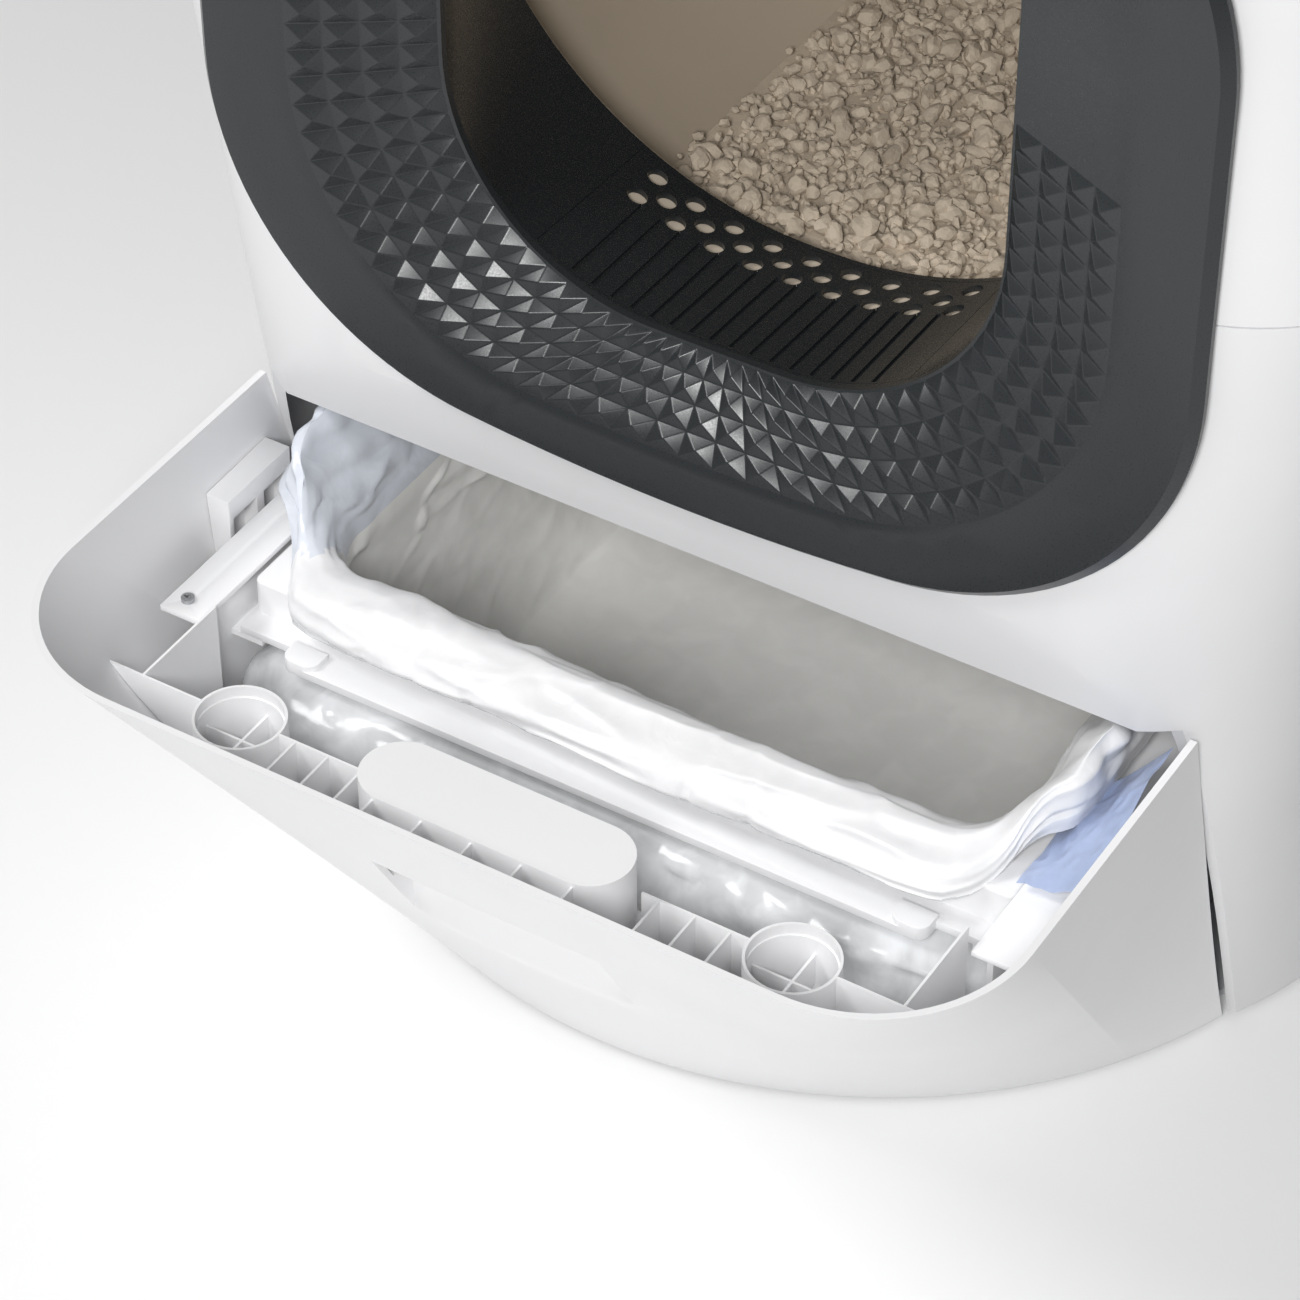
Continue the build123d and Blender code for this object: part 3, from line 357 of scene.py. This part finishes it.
def smooth_group():
    group = bpy.data.node_groups.new("smooth_moulding", "GeometryNodeTree")
    group.interface.new_socket("Geometry", in_out="INPUT", socket_type="NodeSocketGeometry")
    group.interface.new_socket("Geometry", in_out="OUTPUT", socket_type="NodeSocketGeometry")
    start = add_node(group, "NodeGroupInput")
    joined = add_node(
        group, "GeometryNodeMergeByDistance", {"Geometry": start.outputs[0], "Distance": JOIN_DISTANCE}
    )
    faces = add_node(
        group,
        "GeometryNodeSetShadeSmooth",
        {"Geometry": joined.outputs["Geometry"], "Shade Smooth": True},
        domain="FACE",
    )
    angle = add_node(group, "GeometryNodeInputMeshEdgeAngle")
    sharp = add_node(
        group,
        "FunctionNodeCompare",
        {0: angle.outputs["Unsigned Angle"], 1: SHARP_ANGLE},
        data_type="FLOAT",
        operation="GREATER_THAN",
    )
    edges = add_node(
        group,
        "GeometryNodeSetShadeSmooth",
        {
            "Geometry": faces.outputs["Geometry"],
            "Selection": sharp.outputs["Result"],
            "Shade Smooth": False,
        },
        domain="EDGE",
    )
    add_node(group, "NodeGroupOutput", {0: edges.outputs["Geometry"]})
    return group


smooth = smooth_group()
print("smooth group", len(smooth.nodes), "nodes")

# %% [markdown]
# No moulded edge is quite sharp. A fine bevel rounds the edges of the small plain pieces, so that they
# catch the light. It needs whole faces, so the triangles are joined and the flat ones dissolved first. The
# curved shells and the round pieces get none here.

# %% Edges and finish
BEVEL_ANGLE = math.radians(40)
FLAT_ANGLE = math.radians(0.4)


def finish_moulding(name, material, edge_mm=0.0):
    moulding = nodes[name]
    moulding.data.materials.clear()
    moulding.data.materials.append(material)
    if edge_mm:
        weld = moulding.modifiers.new("weld", "WELD")
        weld.merge_threshold = JOIN_DISTANCE
        flats = moulding.modifiers.new("flats", "DECIMATE")
        flats.decimate_type = "DISSOLVE"
        flats.angle_limit = FLAT_ANGLE
        edge = moulding.modifiers.new("edge", "BEVEL")
        edge.width = edge_mm * MM
        edge.segments = 2
        edge.limit_method = "ANGLE"
        edge.angle_limit = BEVEL_ANGLE
        edge.use_clamp_overlap = True
    shade = moulding.modifiers.new("smooth", "NODES")
    shade.node_group = smooth


# %% [markdown]
# Now each moulding gets what it is really made of, with the width of its edge's bevel in millimetres. White
# ABS is the body and the drawer, charcoal and black the entry, greige the drum, and the hidden works are
# nylon, steel and grey.

# %% Which finish goes where
finishes = {
    "base_shell": (shell_white, 0),
    "upper_shell": (shell_white, 0),
    "entry_bezel": (bezel_charcoal, 0),
    "entry_tunnel": (tunnel_black, 0),
    "entry_step": (tunnel_black, 0),
    "mouth_seal": (seal_silicone, 0),
    "drum_front": (drum_greige_painted_shade, 0),
    "drum_rear": (drum_greige_painted_shade, 0),
    "drum_screws": (zinc_steel, 0),
    "ring_gear": (nylon_natural, 0),
    "sieve_screen": (drum_greige_painted_shade, 0.5),
    "litter_bed": (clay, 0),
    "drive_pinion": (nylon_natural, 0),
    "gear_motor": (motor_alloy, 0.8),
    "motor_bracket": (zinc_steel, 0.4),
    "roller_brackets": (chassis_grey, 0.5),
    "roller_pins": (zinc_steel, 0.3),
    "base_deck": (chassis_grey, 0),
    "base_pan": (chassis_grey, 0),
    "deck_posts": (chassis_grey, 0),
    "deck_screws": (zinc_steel, 0.4),
    "drawer_rail_left": (chassis_grey, 0.5),
    "drawer_rail_right": (chassis_grey, 0.5),
    "rubber_feet": (rubber_black, 0),
    "load_cells": (motor_alloy, 0.3),
    "drawer_front": (drawer_white, 0),
    "rib_set_left": (drawer_white, 0),
    "rib_set_right": (drawer_white, 0),
    "cover_cup_left": (drawer_white, 0),
    "cover_cup_right": (drawer_white, 0),
    "gusset_left": (drawer_white, 0),
    "gusset_right": (drawer_white, 0),
    "drawer_bin": (drawer_white, 0),
    "bag_frame": (drawer_white, 0.8),
    "bag_strip_left": (drawer_white, 0.5),
    "bag_strip_right": (drawer_white, 0.5),
    "strip_screws": (zinc_steel, 0),
    "cover_catch_left": (drawer_white, 0.5),
    "cover_catch_right": (drawer_white, 0.5),
    "power_inlet": (rubber_black, 0.3),
    "control_board": (board_green, 0),
    "control_panel": (panel_black, 0.4),
    "power_button": (button_grey, 0),
    "clean_button": (button_grey, 0),
    "level_button": (button_grey, 0),
    "roller_front_left": (rubber_black, 0),
    "roller_back_left": (rubber_black, 0),
    "roller_front_right": (rubber_black, 0),
    "roller_back_right": (rubber_black, 0),
}
for moulding_name, (finish, edge_size) in finishes.items():
    finish_moulding(moulding_name, finish, edge_size)
print("finished", len(finishes), "mouldings")


# %% [markdown]
# New pieces are bmeshes that become objects at the origin, so that their place is in their mesh.

# %% From bmesh to piece


def piece_from(bm, name, materials, body, smooth_faces=True):
    mesh = bpy.data.meshes.new(name)
    bm.to_mesh(mesh)
    bm.free()
    for material in materials:
        mesh.materials.append(material)
    for face in mesh.polygons:
        face.use_smooth = smooth_faces
    piece = bpy.data.objects.new(name, mesh)
    bpy.context.scene.collection.objects.link(piece)
    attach(piece, body)
    return piece


# %% [markdown]
# The entry ring carries a band of four-sided pyramids, four across, that follows the opening from one side
# round the bottom to the other. A flat grid is laid on the ring's dished face, and every cell is poked
# outwards to a point. First the ring's outlines: they are alike at every depth, with a slightly sagging
# bottom, round corners and upright sides. A share between 0, the outer edge, and 1, the lip, says which one
# is meant.

# %% Outlines of the entry ring
RING_OUTER = {"half": 241.0, "bottom": 267.0, "sag": 30.0, "corner": 150.0}
RING_LIP = {"half": 136.0, "bottom": 333.0, "sag": 2.0, "corner": 105.0}
CREASE_SHARE = 0.38
CREASE_Y = -125.0
LIP_Y = -95.0
BAND_TOP_Z = 502.0
BAND_MIDDLE = 0.66


def ring_runs(share):
    half, bottom, sag, corner = [
        RING_OUTER[key] + (RING_LIP[key] - RING_OUTER[key]) * share
        for key in ("half", "bottom", "sag", "corner")
    ]
    bow = (half**2 + sag**2) / (2 * sag)
    corner_x = half - corner
    corner_z = bottom + bow - math.sqrt((bow - corner) ** 2 - corner_x**2)
    turn = math.atan2(corner_z - bottom - bow, corner_x)
    runs = (bow * (turn + math.pi / 2), corner * -turn, BAND_TOP_Z - corner_z)
    return half, bottom, bow, corner, corner_x, corner_z, turn, runs


middle_runs = ring_runs(BAND_MIDDLE)[-1]
print("half band", round(sum(middle_runs)), "mm")


def ring_point(share, along):
    half, bottom, bow, corner, corner_x, corner_z, turn, runs = ring_runs(share)
    side = 1 if along >= 0 else -1
    reach = abs(along) * sum(middle_runs)
    if reach <= middle_runs[0]:
        angle = -math.pi / 2 + reach / middle_runs[0] * (turn + math.pi / 2)
        x = bow * math.cos(angle)
        z = bottom + bow + bow * math.sin(angle)
    elif reach <= middle_runs[0] + middle_runs[1]:
        angle = turn * (1 - (reach - middle_runs[0]) / middle_runs[1])
        x = corner_x + corner * math.cos(angle)
        z = corner_z + corner * math.sin(angle)
    else:
        x = half
        z = corner_z + (reach - middle_runs[0] - middle_runs[1]) / middle_runs[2] * runs[2]
    y = CREASE_Y + (LIP_Y - CREASE_Y) * (share - CREASE_SHARE) / (1 - CREASE_SHARE)
    return Vector((side * x, y, z)) * MM


# %% [markdown]
# Then the band itself. Poke puts a point over the middle of every cell. A small bevel softens the ridges,
# so that they catch the light in a thin line.

# %% Pyramids on the entry ring
PYRAMID_PITCH = 13.0
PYRAMID_HEIGHT = 3.8
PYRAMIDS_ACROSS = 4
BAND_FROM = 0.41
BAND_WIDTH = 0.575
BAND_PROUD = 0.05
RIDGE_WIDTH = 0.6
RIDGE_ANGLE = math.radians(12)


def make_pyramids():
    rows = round(2 * sum(middle_runs) / PYRAMID_PITCH)
    bm = bmesh.new()
    bmesh.ops.create_grid(bm, x_segments=rows, y_segments=PYRAMIDS_ACROSS, size=1.0)
    for vert in bm.verts:
        share = BAND_FROM + BAND_WIDTH * (vert.co.y + 1) / 2
        vert.co = ring_point(share, vert.co.x)
        vert.co.y -= BAND_PROUD * MM
    bm.normal_update()
    outward = -1 if sum(face.normal.y for face in bm.faces) > 0 else 1
    bmesh.ops.poke(bm, faces=bm.faces[:], offset=outward * PYRAMID_HEIGHT * MM, use_relative_offset=False)
    bmesh.ops.recalc_face_normals(bm, faces=bm.faces[:])
    bm.normal_update()
    if sum(face.normal.y for face in bm.faces) > 0:
        bmesh.ops.reverse_faces(bm, faces=bm.faces[:])
    pyramids = piece_from(bm, "ring_pyramids", [bezel_charcoal], "housing")
    soften = pyramids.modifiers.new("soften", "BEVEL")
    soften.width = RIDGE_WIDTH * MM
    soften.segments = 2
    soften.limit_method = "ANGLE"
    soften.angle_limit = RIDGE_ANGLE
    print("pyramids", rows * PYRAMIDS_ACROSS)


make_pyramids()

# %% [markdown]
# The litter's top is strewn with crumbs. Each is a rough icosphere, squeezed and dented at random, and sunk
# part of its height into the bed. The random numbers are seeded, so every run lays the same bed.

# %% Clay crumbs
DRUM_AXIS_Z = 518.0
DRUM_RADIUS = 224.0
LITTER_Z = 317.0
BED_FRONT_Y = 13.0
BED_BACK_Y = 236.0
# The drum narrows towards its mouth, in front of this place
MOUTH_Y = 20.0
MOUTH_SLOPE = 1.1
MOUTH_WALL_Y = 11.0
CRUMB_SEED = 7
# Each layer: a crumb's radius, the spacing, and how many radii it lies above the bed
CRUMB_LAYERS = ((2.6, 5.2, 0.1), (4.2, 9.2, 0.75), (2.3, 7.5, 1.4))
CRUMB_SPREAD = (0.7, 0.85, 1.0, 1.15, 1.35)
CRUMB_SHARE = 0.82
CRUMB_REACH = 1.2
CRUMB_GAP = 1.0
# Crumbs smaller than this get fewer faces
PLAIN_CRUMB = 3.4
DENT_DEPTH = 0.45
DENTS_PER_RADIUS = 1.1


def add_crumb(bm, centre, size, luck):
    squeeze = Vector((luck.uniform(0.7, 1.3), luck.uniform(0.7, 1.3), luck.uniform(0.6, 0.95)))
    axis = Vector((luck.random(), luck.random(), luck.random() + 0.1))
    turn = Matrix.Rotation(luck.uniform(0, math.tau), 4, axis)
    place = Matrix.Translation(centre) @ turn @ Matrix.Diagonal((*(squeeze * size), 1.0))
    detail = 2 if size > PLAIN_CRUMB * MM else 1
    made = bmesh.ops.create_icosphere(bm, subdivisions=detail, radius=1.0, matrix=place)
    seed = Vector((luck.uniform(0, 90), luck.uniform(0, 90), 0))
    for vert in made["verts"]:
        away = vert.co - centre
        dent = noise.noise(away / size * DENTS_PER_RADIUS + seed)
        vert.co = centre + away * (1 + DENT_DEPTH * dent)


def make_crumbs():
    luck = random.Random(CRUMB_SEED)
    heap = bmesh.new()
    count = 0
    for layer_size, spacing, lift in CRUMB_LAYERS:
        y = BED_FRONT_Y
        while y < BED_BACK_Y:
            # One row at a time: an operator gets slower as its bmesh grows
            row = bmesh.new()
            x = -DRUM_RADIUS
            while x < DRUM_RADIUS:
                spot_x = x + luck.uniform(-0.5, 0.5) * spacing
                spot_y = y + luck.uniform(-0.5, 0.5) * spacing
                size = layer_size * luck.choice(CRUMB_SPREAD)
                height = LITTER_Z + (lift + luck.uniform(-0.35, 0.35)) * size
                mouth = max(0.0, MOUTH_Y - spot_y) * MOUTH_SLOPE
                room = DRUM_RADIUS - mouth - CRUMB_REACH * size - CRUMB_GAP
                inside = math.hypot(spot_x, DRUM_AXIS_Z - height) < room and spot_y > MOUTH_WALL_Y + size
                if inside and luck.random() < CRUMB_SHARE:
                    add_crumb(row, Vector((spot_x, spot_y, height)) * MM, size * MM, luck)
                    count += 1
                x += spacing
            row_mesh = bpy.data.meshes.new("row")
            row.to_mesh(row_mesh)
            row.free()
            heap.from_mesh(row_mesh)
            bpy.data.meshes.remove(row_mesh)
            y += spacing
    crumbs = piece_from(heap, "litter_crumbs", [clay], "housing", False)
    print("crumbs", count, "triangles", len(crumbs.data.polygons))


make_crumbs()

# %% [markdown]
# The waste bag hangs in the drawer's frame. Its mouth is rolled outwards over the frame, as a fat roll on
# the front bar and as a thinner, standing lip on the other sides. Inside, one layer lines the bin, and in
# front it bellies forwards under the bar. A cloth simulation could roll it, but would be slow and hard to
# steer, so a grid is bent into place: it goes once round the frame, and from the hem over the roll down to
# the floor. The first helper walks round the frame's inner edge, which has round corners.

# %% The way round the bag frame
HOLE_HALF = 182.0
HOLE_FRONT = -151.0
HOLE_BACK = 160.0
HOLE_CORNER = 34.0


def frame_edge(share):
    # A point on the frame's rounded inner edge, and the way outwards, from the front's middle to the right
    straight_x = HOLE_HALF - HOLE_CORNER
    depth = (HOLE_BACK - HOLE_FRONT) / 2
    middle_y = (HOLE_BACK + HOLE_FRONT) / 2
    straight_y = depth - HOLE_CORNER
    bend = HOLE_CORNER * math.pi / 2
    runs = [straight_x, bend, 2 * straight_y, bend, 2 * straight_x, bend, 2 * straight_y, bend, straight_x]
    reach = share % 1.0 * sum(runs)
    step = 0
    while step < len(runs) - 1 and reach > runs[step]:
        reach -= runs[step]
        step += 1
    heading = (step // 2) * math.pi / 2
    if step % 2:
        turn = heading + reach / HOLE_CORNER
        sign_x = 1 if step in (1, 3) else -1
        sign_y = -1 if step in (1, 7) else 1
        outward = Vector((math.sin(turn), -math.cos(turn), 0))
        corner = Vector((sign_x * straight_x, middle_y + sign_y * straight_y, 0))
        return corner + outward * HOLE_CORNER, outward
    outward = Vector((math.sin(heading), -math.cos(heading), 0))
    along = Vector((math.cos(heading), math.sin(heading), 0))
    starts = {
        0: (0.0, HOLE_FRONT),
        2: (HOLE_HALF, middle_y - straight_y),
        4: (straight_x, HOLE_BACK),
        6: (-HOLE_HALF, middle_y + straight_y),
        8: (-straight_x, HOLE_FRONT),
    }
    return Vector((*starts[step], 0)) + along * reach, outward


print("frame edge starts at", [round(value) for value in frame_edge(0.0)[0]])

# %% [markdown]
# Two profiles, one for the front and one for the sides, say how the film goes over the frame. A smooth
# curve runs through their points. They are blended along the way round.

# %% Profiles of the film
# Each profile point: how far outwards from the frame's inner edge, and how high
FRONT_PROFILE = [
    (29.0, 163.0), (34.0, 163.5), (38.0, 167.0), (38.0, 173.0), (33.5, 179.0), (25.0, 183.0), (15.0, 185.0),
    (7.0, 183.0), (1.5, 177.5), (-3.5, 167.0), (-5.0, 152.0), (12.0, 144.0), (36.0, 142.0), (54.0, 133.0),
    (58.0, 112.0), (50.0, 76.0), (34.0, 44.0), (14.0, 24.0), (-12.0, 19.5), (-12.0, 18.8),
]
SIDE_PROFILE = [
    (26.0, 183.0), (28.0, 188.0), (28.0, 193.0), (25.0, 196.5), (20.0, 196.0), (13.0, 192.0), (6.0, 187.0),
    (0.0, 181.0), (-4.0, 174.0), (-5.0, 162.0), (-4.0, 150.0), (-3.5, 138.0), (-3.0, 124.0), (-3.0, 108.0),
    (-3.0, 88.0), (-3.0, 66.0), (-5.0, 42.0), (-9.0, 24.0), (-14.0, 19.5), (-14.0, 18.8),
]


def profile_at(profile, share):
    reach = share * (len(profile) - 1)
    step = min(int(reach), len(profile) - 2)
    rest = reach - step
    low = Vector(profile[step])
    high = Vector(profile[step + 1])
    before = Vector(profile[max(step - 1, 0)])
    after = Vector(profile[min(step + 2, len(profile) - 1)])
    # A Catmull-Rom curve through the profile's points
    pull = (high - before) * rest
    bend = (2 * before - 5 * low + 4 * high - after) * rest**2
    tail = (3 * low - before - 3 * high + after) * rest**3
    return low + (pull + bend + tail) / 2


print("profiles of", len(FRONT_PROFILE), "and", len(SIDE_PROFILE), "points")

# %% [markdown]
# Every point of the grid starts on the blended profile. The lip climbs along the sides, the roll is drawn
# in at the corners, and noises of several sizes fold, pleat and crease the film. At last the point is kept
# inside the drawer's front wall, above the bin's floor and below the apron.

# %% A point of the bag
# Shares of the way down the film, from the hem
HEM_END = 0.06
LIP_MIDDLE = 0.18
LIP_SPAN = 0.24
INSIDE_FROM = 0.36
ROLL_END = 0.4
BELLY_FROM = 0.45
LINING_FROM = 0.6
BIN_FROM = 0.62
FLOOR_FROM = 0.93
# Heights and places in millimetres
APRON_Z = 226.5
BIN_FLOOR_Z = 18.4
FLOOR_MIDDLE = Vector((0.0, 5.0, 0.0))
CLIMB_LEFT = 30.0
CLIMB_RIGHT = 24.0
CLIMB_FRONT_Y = -175
CLIMB_RUN = 70
CLIMB_BACK_Y = 20
CLIMB_FALL = 80
BACK_DROP = 12.0
BACK_DROP_Y = 40
BACK_DROP_RUN = 60
CORNER_DRAW = 1.4
# Sizes and depths of the noises in millimetres
NOISE_RADIUS = 199.0
FOLD_SIZE = 85
FOLD_DEPTH = 5.0
PLEAT_SIZE = 55
PLEAT_DEPTH = 5.0
PLEAT_MEAN = 0.3
RUFFLE_SIZE = 13
RUFFLE_DEPTH = 4.5
CRUMPLE_SIZE = 11
CRUMPLE_DEPTH = 0.8
CREASE_SIZE = 34
CREASE_DEPTH = 2.6
CREASE_SHARPNESS = 7
# The drawer's front wall leans from a round floor line to a straight rim
HULL_ARC_Y = 61.0
HULL_ARC_RADIUS = 262.0
HULL_RIM_Y = -323.0
HULL_FOOT_Z = 3.0
HULL_RISE = 222.5
HULL_GAP = 14.0


def ease(share):
    share = max(0.0, min(1.0, share))
    return share * share * (3 - 2 * share)


def hull_front(x, z):
    # Inside face of the boat-shaped drawer at a height, in front of a place across
    floor_y = HULL_ARC_Y - math.sqrt(max(HULL_ARC_RADIUS**2 - x**2, 0.0))
    return floor_y + (HULL_RIM_Y - floor_y) * (z - HULL_FOOT_Z) / HULL_RISE


def bag_point(around, down):
    edge, outward = frame_edge(around)
    turned = max(0.0, min(1.0, (-outward.y - 0.35) / 0.6))
    front = ease(turned)
    reach, height = profile_at(FRONT_PROFILE, down) * front + profile_at(SIDE_PROFILE, down) * (1 - front)
    lip = ease(1 - abs(down - LIP_MIDDLE) / LIP_SPAN)
    # The lip climbs along the sides to the apron, most on the left, and lies low behind, under the chute
    climb = ease((edge.y - CLIMB_FRONT_Y) / CLIMB_RUN) * ease((CLIMB_BACK_Y - edge.y) / CLIMB_FALL)
    height += (CLIMB_LEFT if edge.x < 0 else CLIMB_RIGHT) * lip * (1 - front) * climb
    height -= BACK_DROP * lip * ease((edge.y - BACK_DROP_Y) / BACK_DROP_RUN)
    # The roll is drawn in where it goes round the frame's front corners
    if down < ROLL_END and reach > 0:
        reach *= 1 - CORNER_DRAW * turned * (1 - turned)
    spot = edge + outward * reach
    # The floor runs in from all sides to one point, where it lies flat
    inwards = max(0.0, (down - FLOOR_FROM) / (1 - FLOOR_FROM))
    spot = spot.lerp(FLOOR_MIDDLE, inwards)
    spot.z = height
    # The noises are read on a ring, so that the film meets itself without a step
    turn = around * math.tau + down * 0.4
    ring = Vector((math.cos(turn), math.sin(turn), 0)) * NOISE_RADIUS
    folds = noise.noise(ring / FOLD_SIZE + Vector((0, 0, down * 9 + 5)))
    pleats = abs(noise.noise(ring / PLEAT_SIZE + Vector((0, 0, down * 15 + 9))))
    ruffle = noise.noise(ring / RUFFLE_SIZE + Vector((0, 0, down * 3 + 21)))
    crumple = noise.noise(spot / CRUMPLE_SIZE)
    crease = (1 - abs(noise.noise(spot / CREASE_SIZE + Vector((0, 0, 7))))) ** CREASE_SHARPNESS
    push = folds * FOLD_DEPTH + (PLEAT_MEAN - pleats) * PLEAT_DEPTH + crumple * CRUMPLE_DEPTH
    push = push - crease * CREASE_DEPTH + ruffle * RUFFLE_DEPTH * lip * (1 - front)
    # The film lies quietly on the bin's walls and floor, and does not push through the frame
    if down > LINING_FROM and front < 0.5:
        push *= 0.3
    if inwards:
        push *= 0.2 * (1 - inwards)
    if down < HEM_END:
        push = abs(push) * 0.3
    if INSIDE_FROM < down < BIN_FROM:
        push = min(push, 1.0 if front > 0.5 else 0.0)
    if down >= BIN_FROM and front < 0.5:
        push = min(push, 1.5)
    spot += outward * push
    spot.z += push * 0.6 * lip
    if down > BELLY_FROM:
        spot.y = max(spot.y, hull_front(spot.x, spot.z) + HULL_GAP)
    spot.z = min(max(spot.z, BIN_FLOOR_Z), APRON_Z)
    return spot * MM


print("bag starts at", [round(value, 3) for value in bag_point(0.0, 0.0)])

# %% [markdown]
# Now the grid is bent. Its seam is merged, its normals are made to agree, and each face takes the film of
# its place: rolled and milky above, lining or belly below, and a bluish curtain on the left.

# %% Waste bag
FILM_AROUND = 480
FILM_DOWN = 150
MERGE_MM = 0.02
ROLLED, LINING, BELLY, TINTED = range(4)
ROLLED_Z = 168
BELLY_Y = -140
CURTAIN_X = -172
CURTAIN_Y = -158


def make_bag():
    bm = bmesh.new()
    bmesh.ops.create_grid(bm, x_segments=FILM_AROUND, y_segments=FILM_DOWN, size=1.0)
    for vert in bm.verts:
        vert.co = bag_point((vert.co.x + 1) / 2, (vert.co.y + 1) / 2)
    bmesh.ops.remove_doubles(bm, verts=bm.verts[:], dist=MERGE_MM * MM)
    bmesh.ops.recalc_face_normals(bm, faces=bm.faces[:])
    for face in bm.faces:
        middle = face.calc_center_median()
        if middle.z > ROLLED_Z * MM:
            curtain = middle.x < CURTAIN_X * MM and middle.y > CURTAIN_Y * MM
            face.material_index = TINTED if curtain else ROLLED
        else:
            face.material_index = BELLY if middle.y < BELLY_Y * MM else LINING
    area = sum(face.calc_area() for face in bm.faces)
    bag = piece_from(bm, "bag_film", [film_milky, film_lining, film_belly, film_tinted], "drawer")
    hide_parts("waste_bag")
    print("bag film", round(area, 3), "square metres")


make_bag()

# %% [markdown]
# Between the bag's lip and the drawer's right wall a flap of pale blue film stands up: the spare end of the
# bag roll. It is a grid laid from the strip up to the wall, lowest in front, with the same kind of creases.

# %% Blue flap
FLAP_INNER_X = 198.0
FLAP_WIDTH = 36.0
FLAP_FRONT_Y = -172.0
FLAP_LENGTH = 70.0
FLAP_Z = 178.5
FLAP_LOWEST_Z = 176.5
FLAP_FRONT_RISE = 14.0
FLAP_BACK_RISE = 28.0
FLAP_FOLD_DEPTH = 2.4
FLAP_CREASE_DEPTH = 2.0
FLAP_CREASE_MEAN = 0.4


def make_flap():
    bm = bmesh.new()
    bmesh.ops.create_grid(bm, x_segments=60, y_segments=36, size=1.0)
    for vert in bm.verts:
        back = (vert.co.x + 1) / 2
        across = (vert.co.y + 1) / 2
        x = FLAP_INNER_X + FLAP_WIDTH * across
        y = FLAP_FRONT_Y + FLAP_LENGTH * back
        rise = FLAP_FRONT_RISE + FLAP_BACK_RISE * min(1.0, back * 1.5)
        z = FLAP_Z + rise * across**1.2
        folds = noise.noise(Vector((x / 16, y / 24, 2.0)))
        creases = abs(noise.noise(Vector((x / 8, y / 12, 6.0))))
        z += FLAP_FOLD_DEPTH * folds + FLAP_CREASE_DEPTH * (FLAP_CREASE_MEAN - creases)
        vert.co = Vector((x, y, max(z, FLAP_LOWEST_Z))) * MM
    bmesh.ops.recalc_face_normals(bm, faces=bm.faces[:])
    area = sum(face.calc_area() for face in bm.faces)
    flap = piece_from(bm, "bag_flap", [film_blue], "drawer")
    print("flap", round(area * 1e4, 1), "square centimetres")


make_flap()

# %% [markdown]
# The floor is a pale paper sweep that keeps the soft shadow of the box. To the camera, and to glossy and
# clear things, it glows a little, so that it looks white without more light on the box.

# %% Floor
FLOOR_GLOW = 0.1
FLOOR_HALF = 12.0
floor_material, floor_tree = empty_material("paper_sweep")
floor_surface = add_node(
    floor_tree, "ShaderNodeBsdfPrincipled", {"Base Color": linear("E8E8E8"), "Roughness": 0.9}
)
floor_glow = add_node(floor_tree, "ShaderNodeEmission", {"Color": linear("FFFFFF"), "Strength": FLOOR_GLOW})
floor_path = add_node(floor_tree, "ShaderNodeLightPath")
floor_black = add_node(floor_tree, "ShaderNodeEmission", {"Strength": 0.0})
floor_seen = floor_path.outputs["Is Camera Ray"]
for kind in ("Is Glossy Ray", "Is Transmission Ray"):
    either = add_node(
        floor_tree,
        "ShaderNodeMath",
        {0: floor_seen, 1: floor_path.outputs[kind]},
        operation="MAXIMUM",
    )
    floor_seen = either.outputs["Value"]
floor_extra = add_node(
    floor_tree,
    "ShaderNodeMixShader",
    {0: floor_seen, 1: floor_black.outputs[0], 2: floor_glow.outputs[0]},
)
floor_sum = add_node(
    floor_tree,
    "ShaderNodeAddShader",
    {0: floor_surface.outputs["BSDF"], 1: floor_extra.outputs["Shader"]},
)
add_node(floor_tree, "ShaderNodeOutputMaterial", {"Surface": floor_sum.outputs["Shader"]})
floor_bm = bmesh.new()
bmesh.ops.create_grid(floor_bm, x_segments=1, y_segments=1, size=FLOOR_HALF)
floor_mesh = bpy.data.meshes.new("floor")
floor_bm.to_mesh(floor_mesh)
floor_bm.free()
floor_mesh.materials.append(floor_material)
floor = bpy.data.objects.new("floor", floor_mesh)
bpy.context.scene.collection.objects.link(floor)
print("floor", 2 * FLOOR_HALF, "metres wide")

# %% [markdown]
# The light is a studio's: one soft box in front and above, near the camera's own direction, which reaches
# into the drawer, one on the left, which gives the floor its shadow, and a bright room that fills the rest.

# %% Light
ROOM_LIGHT = 0.17
world = bpy.data.worlds.new("room")
bpy.context.scene.world = world
world.use_nodes = True
world.node_tree.nodes.clear()
room = add_node(
    world.node_tree, "ShaderNodeBackground", {"Color": linear("FFFFFF"), "Strength": ROOM_LIGHT}
)
add_node(world.node_tree, "ShaderNodeOutputWorld", {"Surface": room.outputs["Background"]})


def soft_box(name, place, target, size, power):
    lamp = bpy.data.lights.new(name, "AREA")
    lamp.shape = "DISK"
    lamp.size = size
    lamp.energy = power
    stand = bpy.data.objects.new(name, lamp)
    bpy.context.scene.collection.objects.link(stand)
    stand.location = place
    stand.rotation_euler = (Vector(target) - Vector(place)).to_track_quat("-Z", "Y").to_euler()


soft_box("key", place=(0.78, -2.0, 1.85), target=(0.0, -0.1, 0.2), size=0.7, power=48.0)
soft_box("left", place=(-1.5, -1.2, 2.3), target=(0.0, -0.2, 0.2), size=1.0, power=33.0)
print("lamps", len(bpy.data.lights))
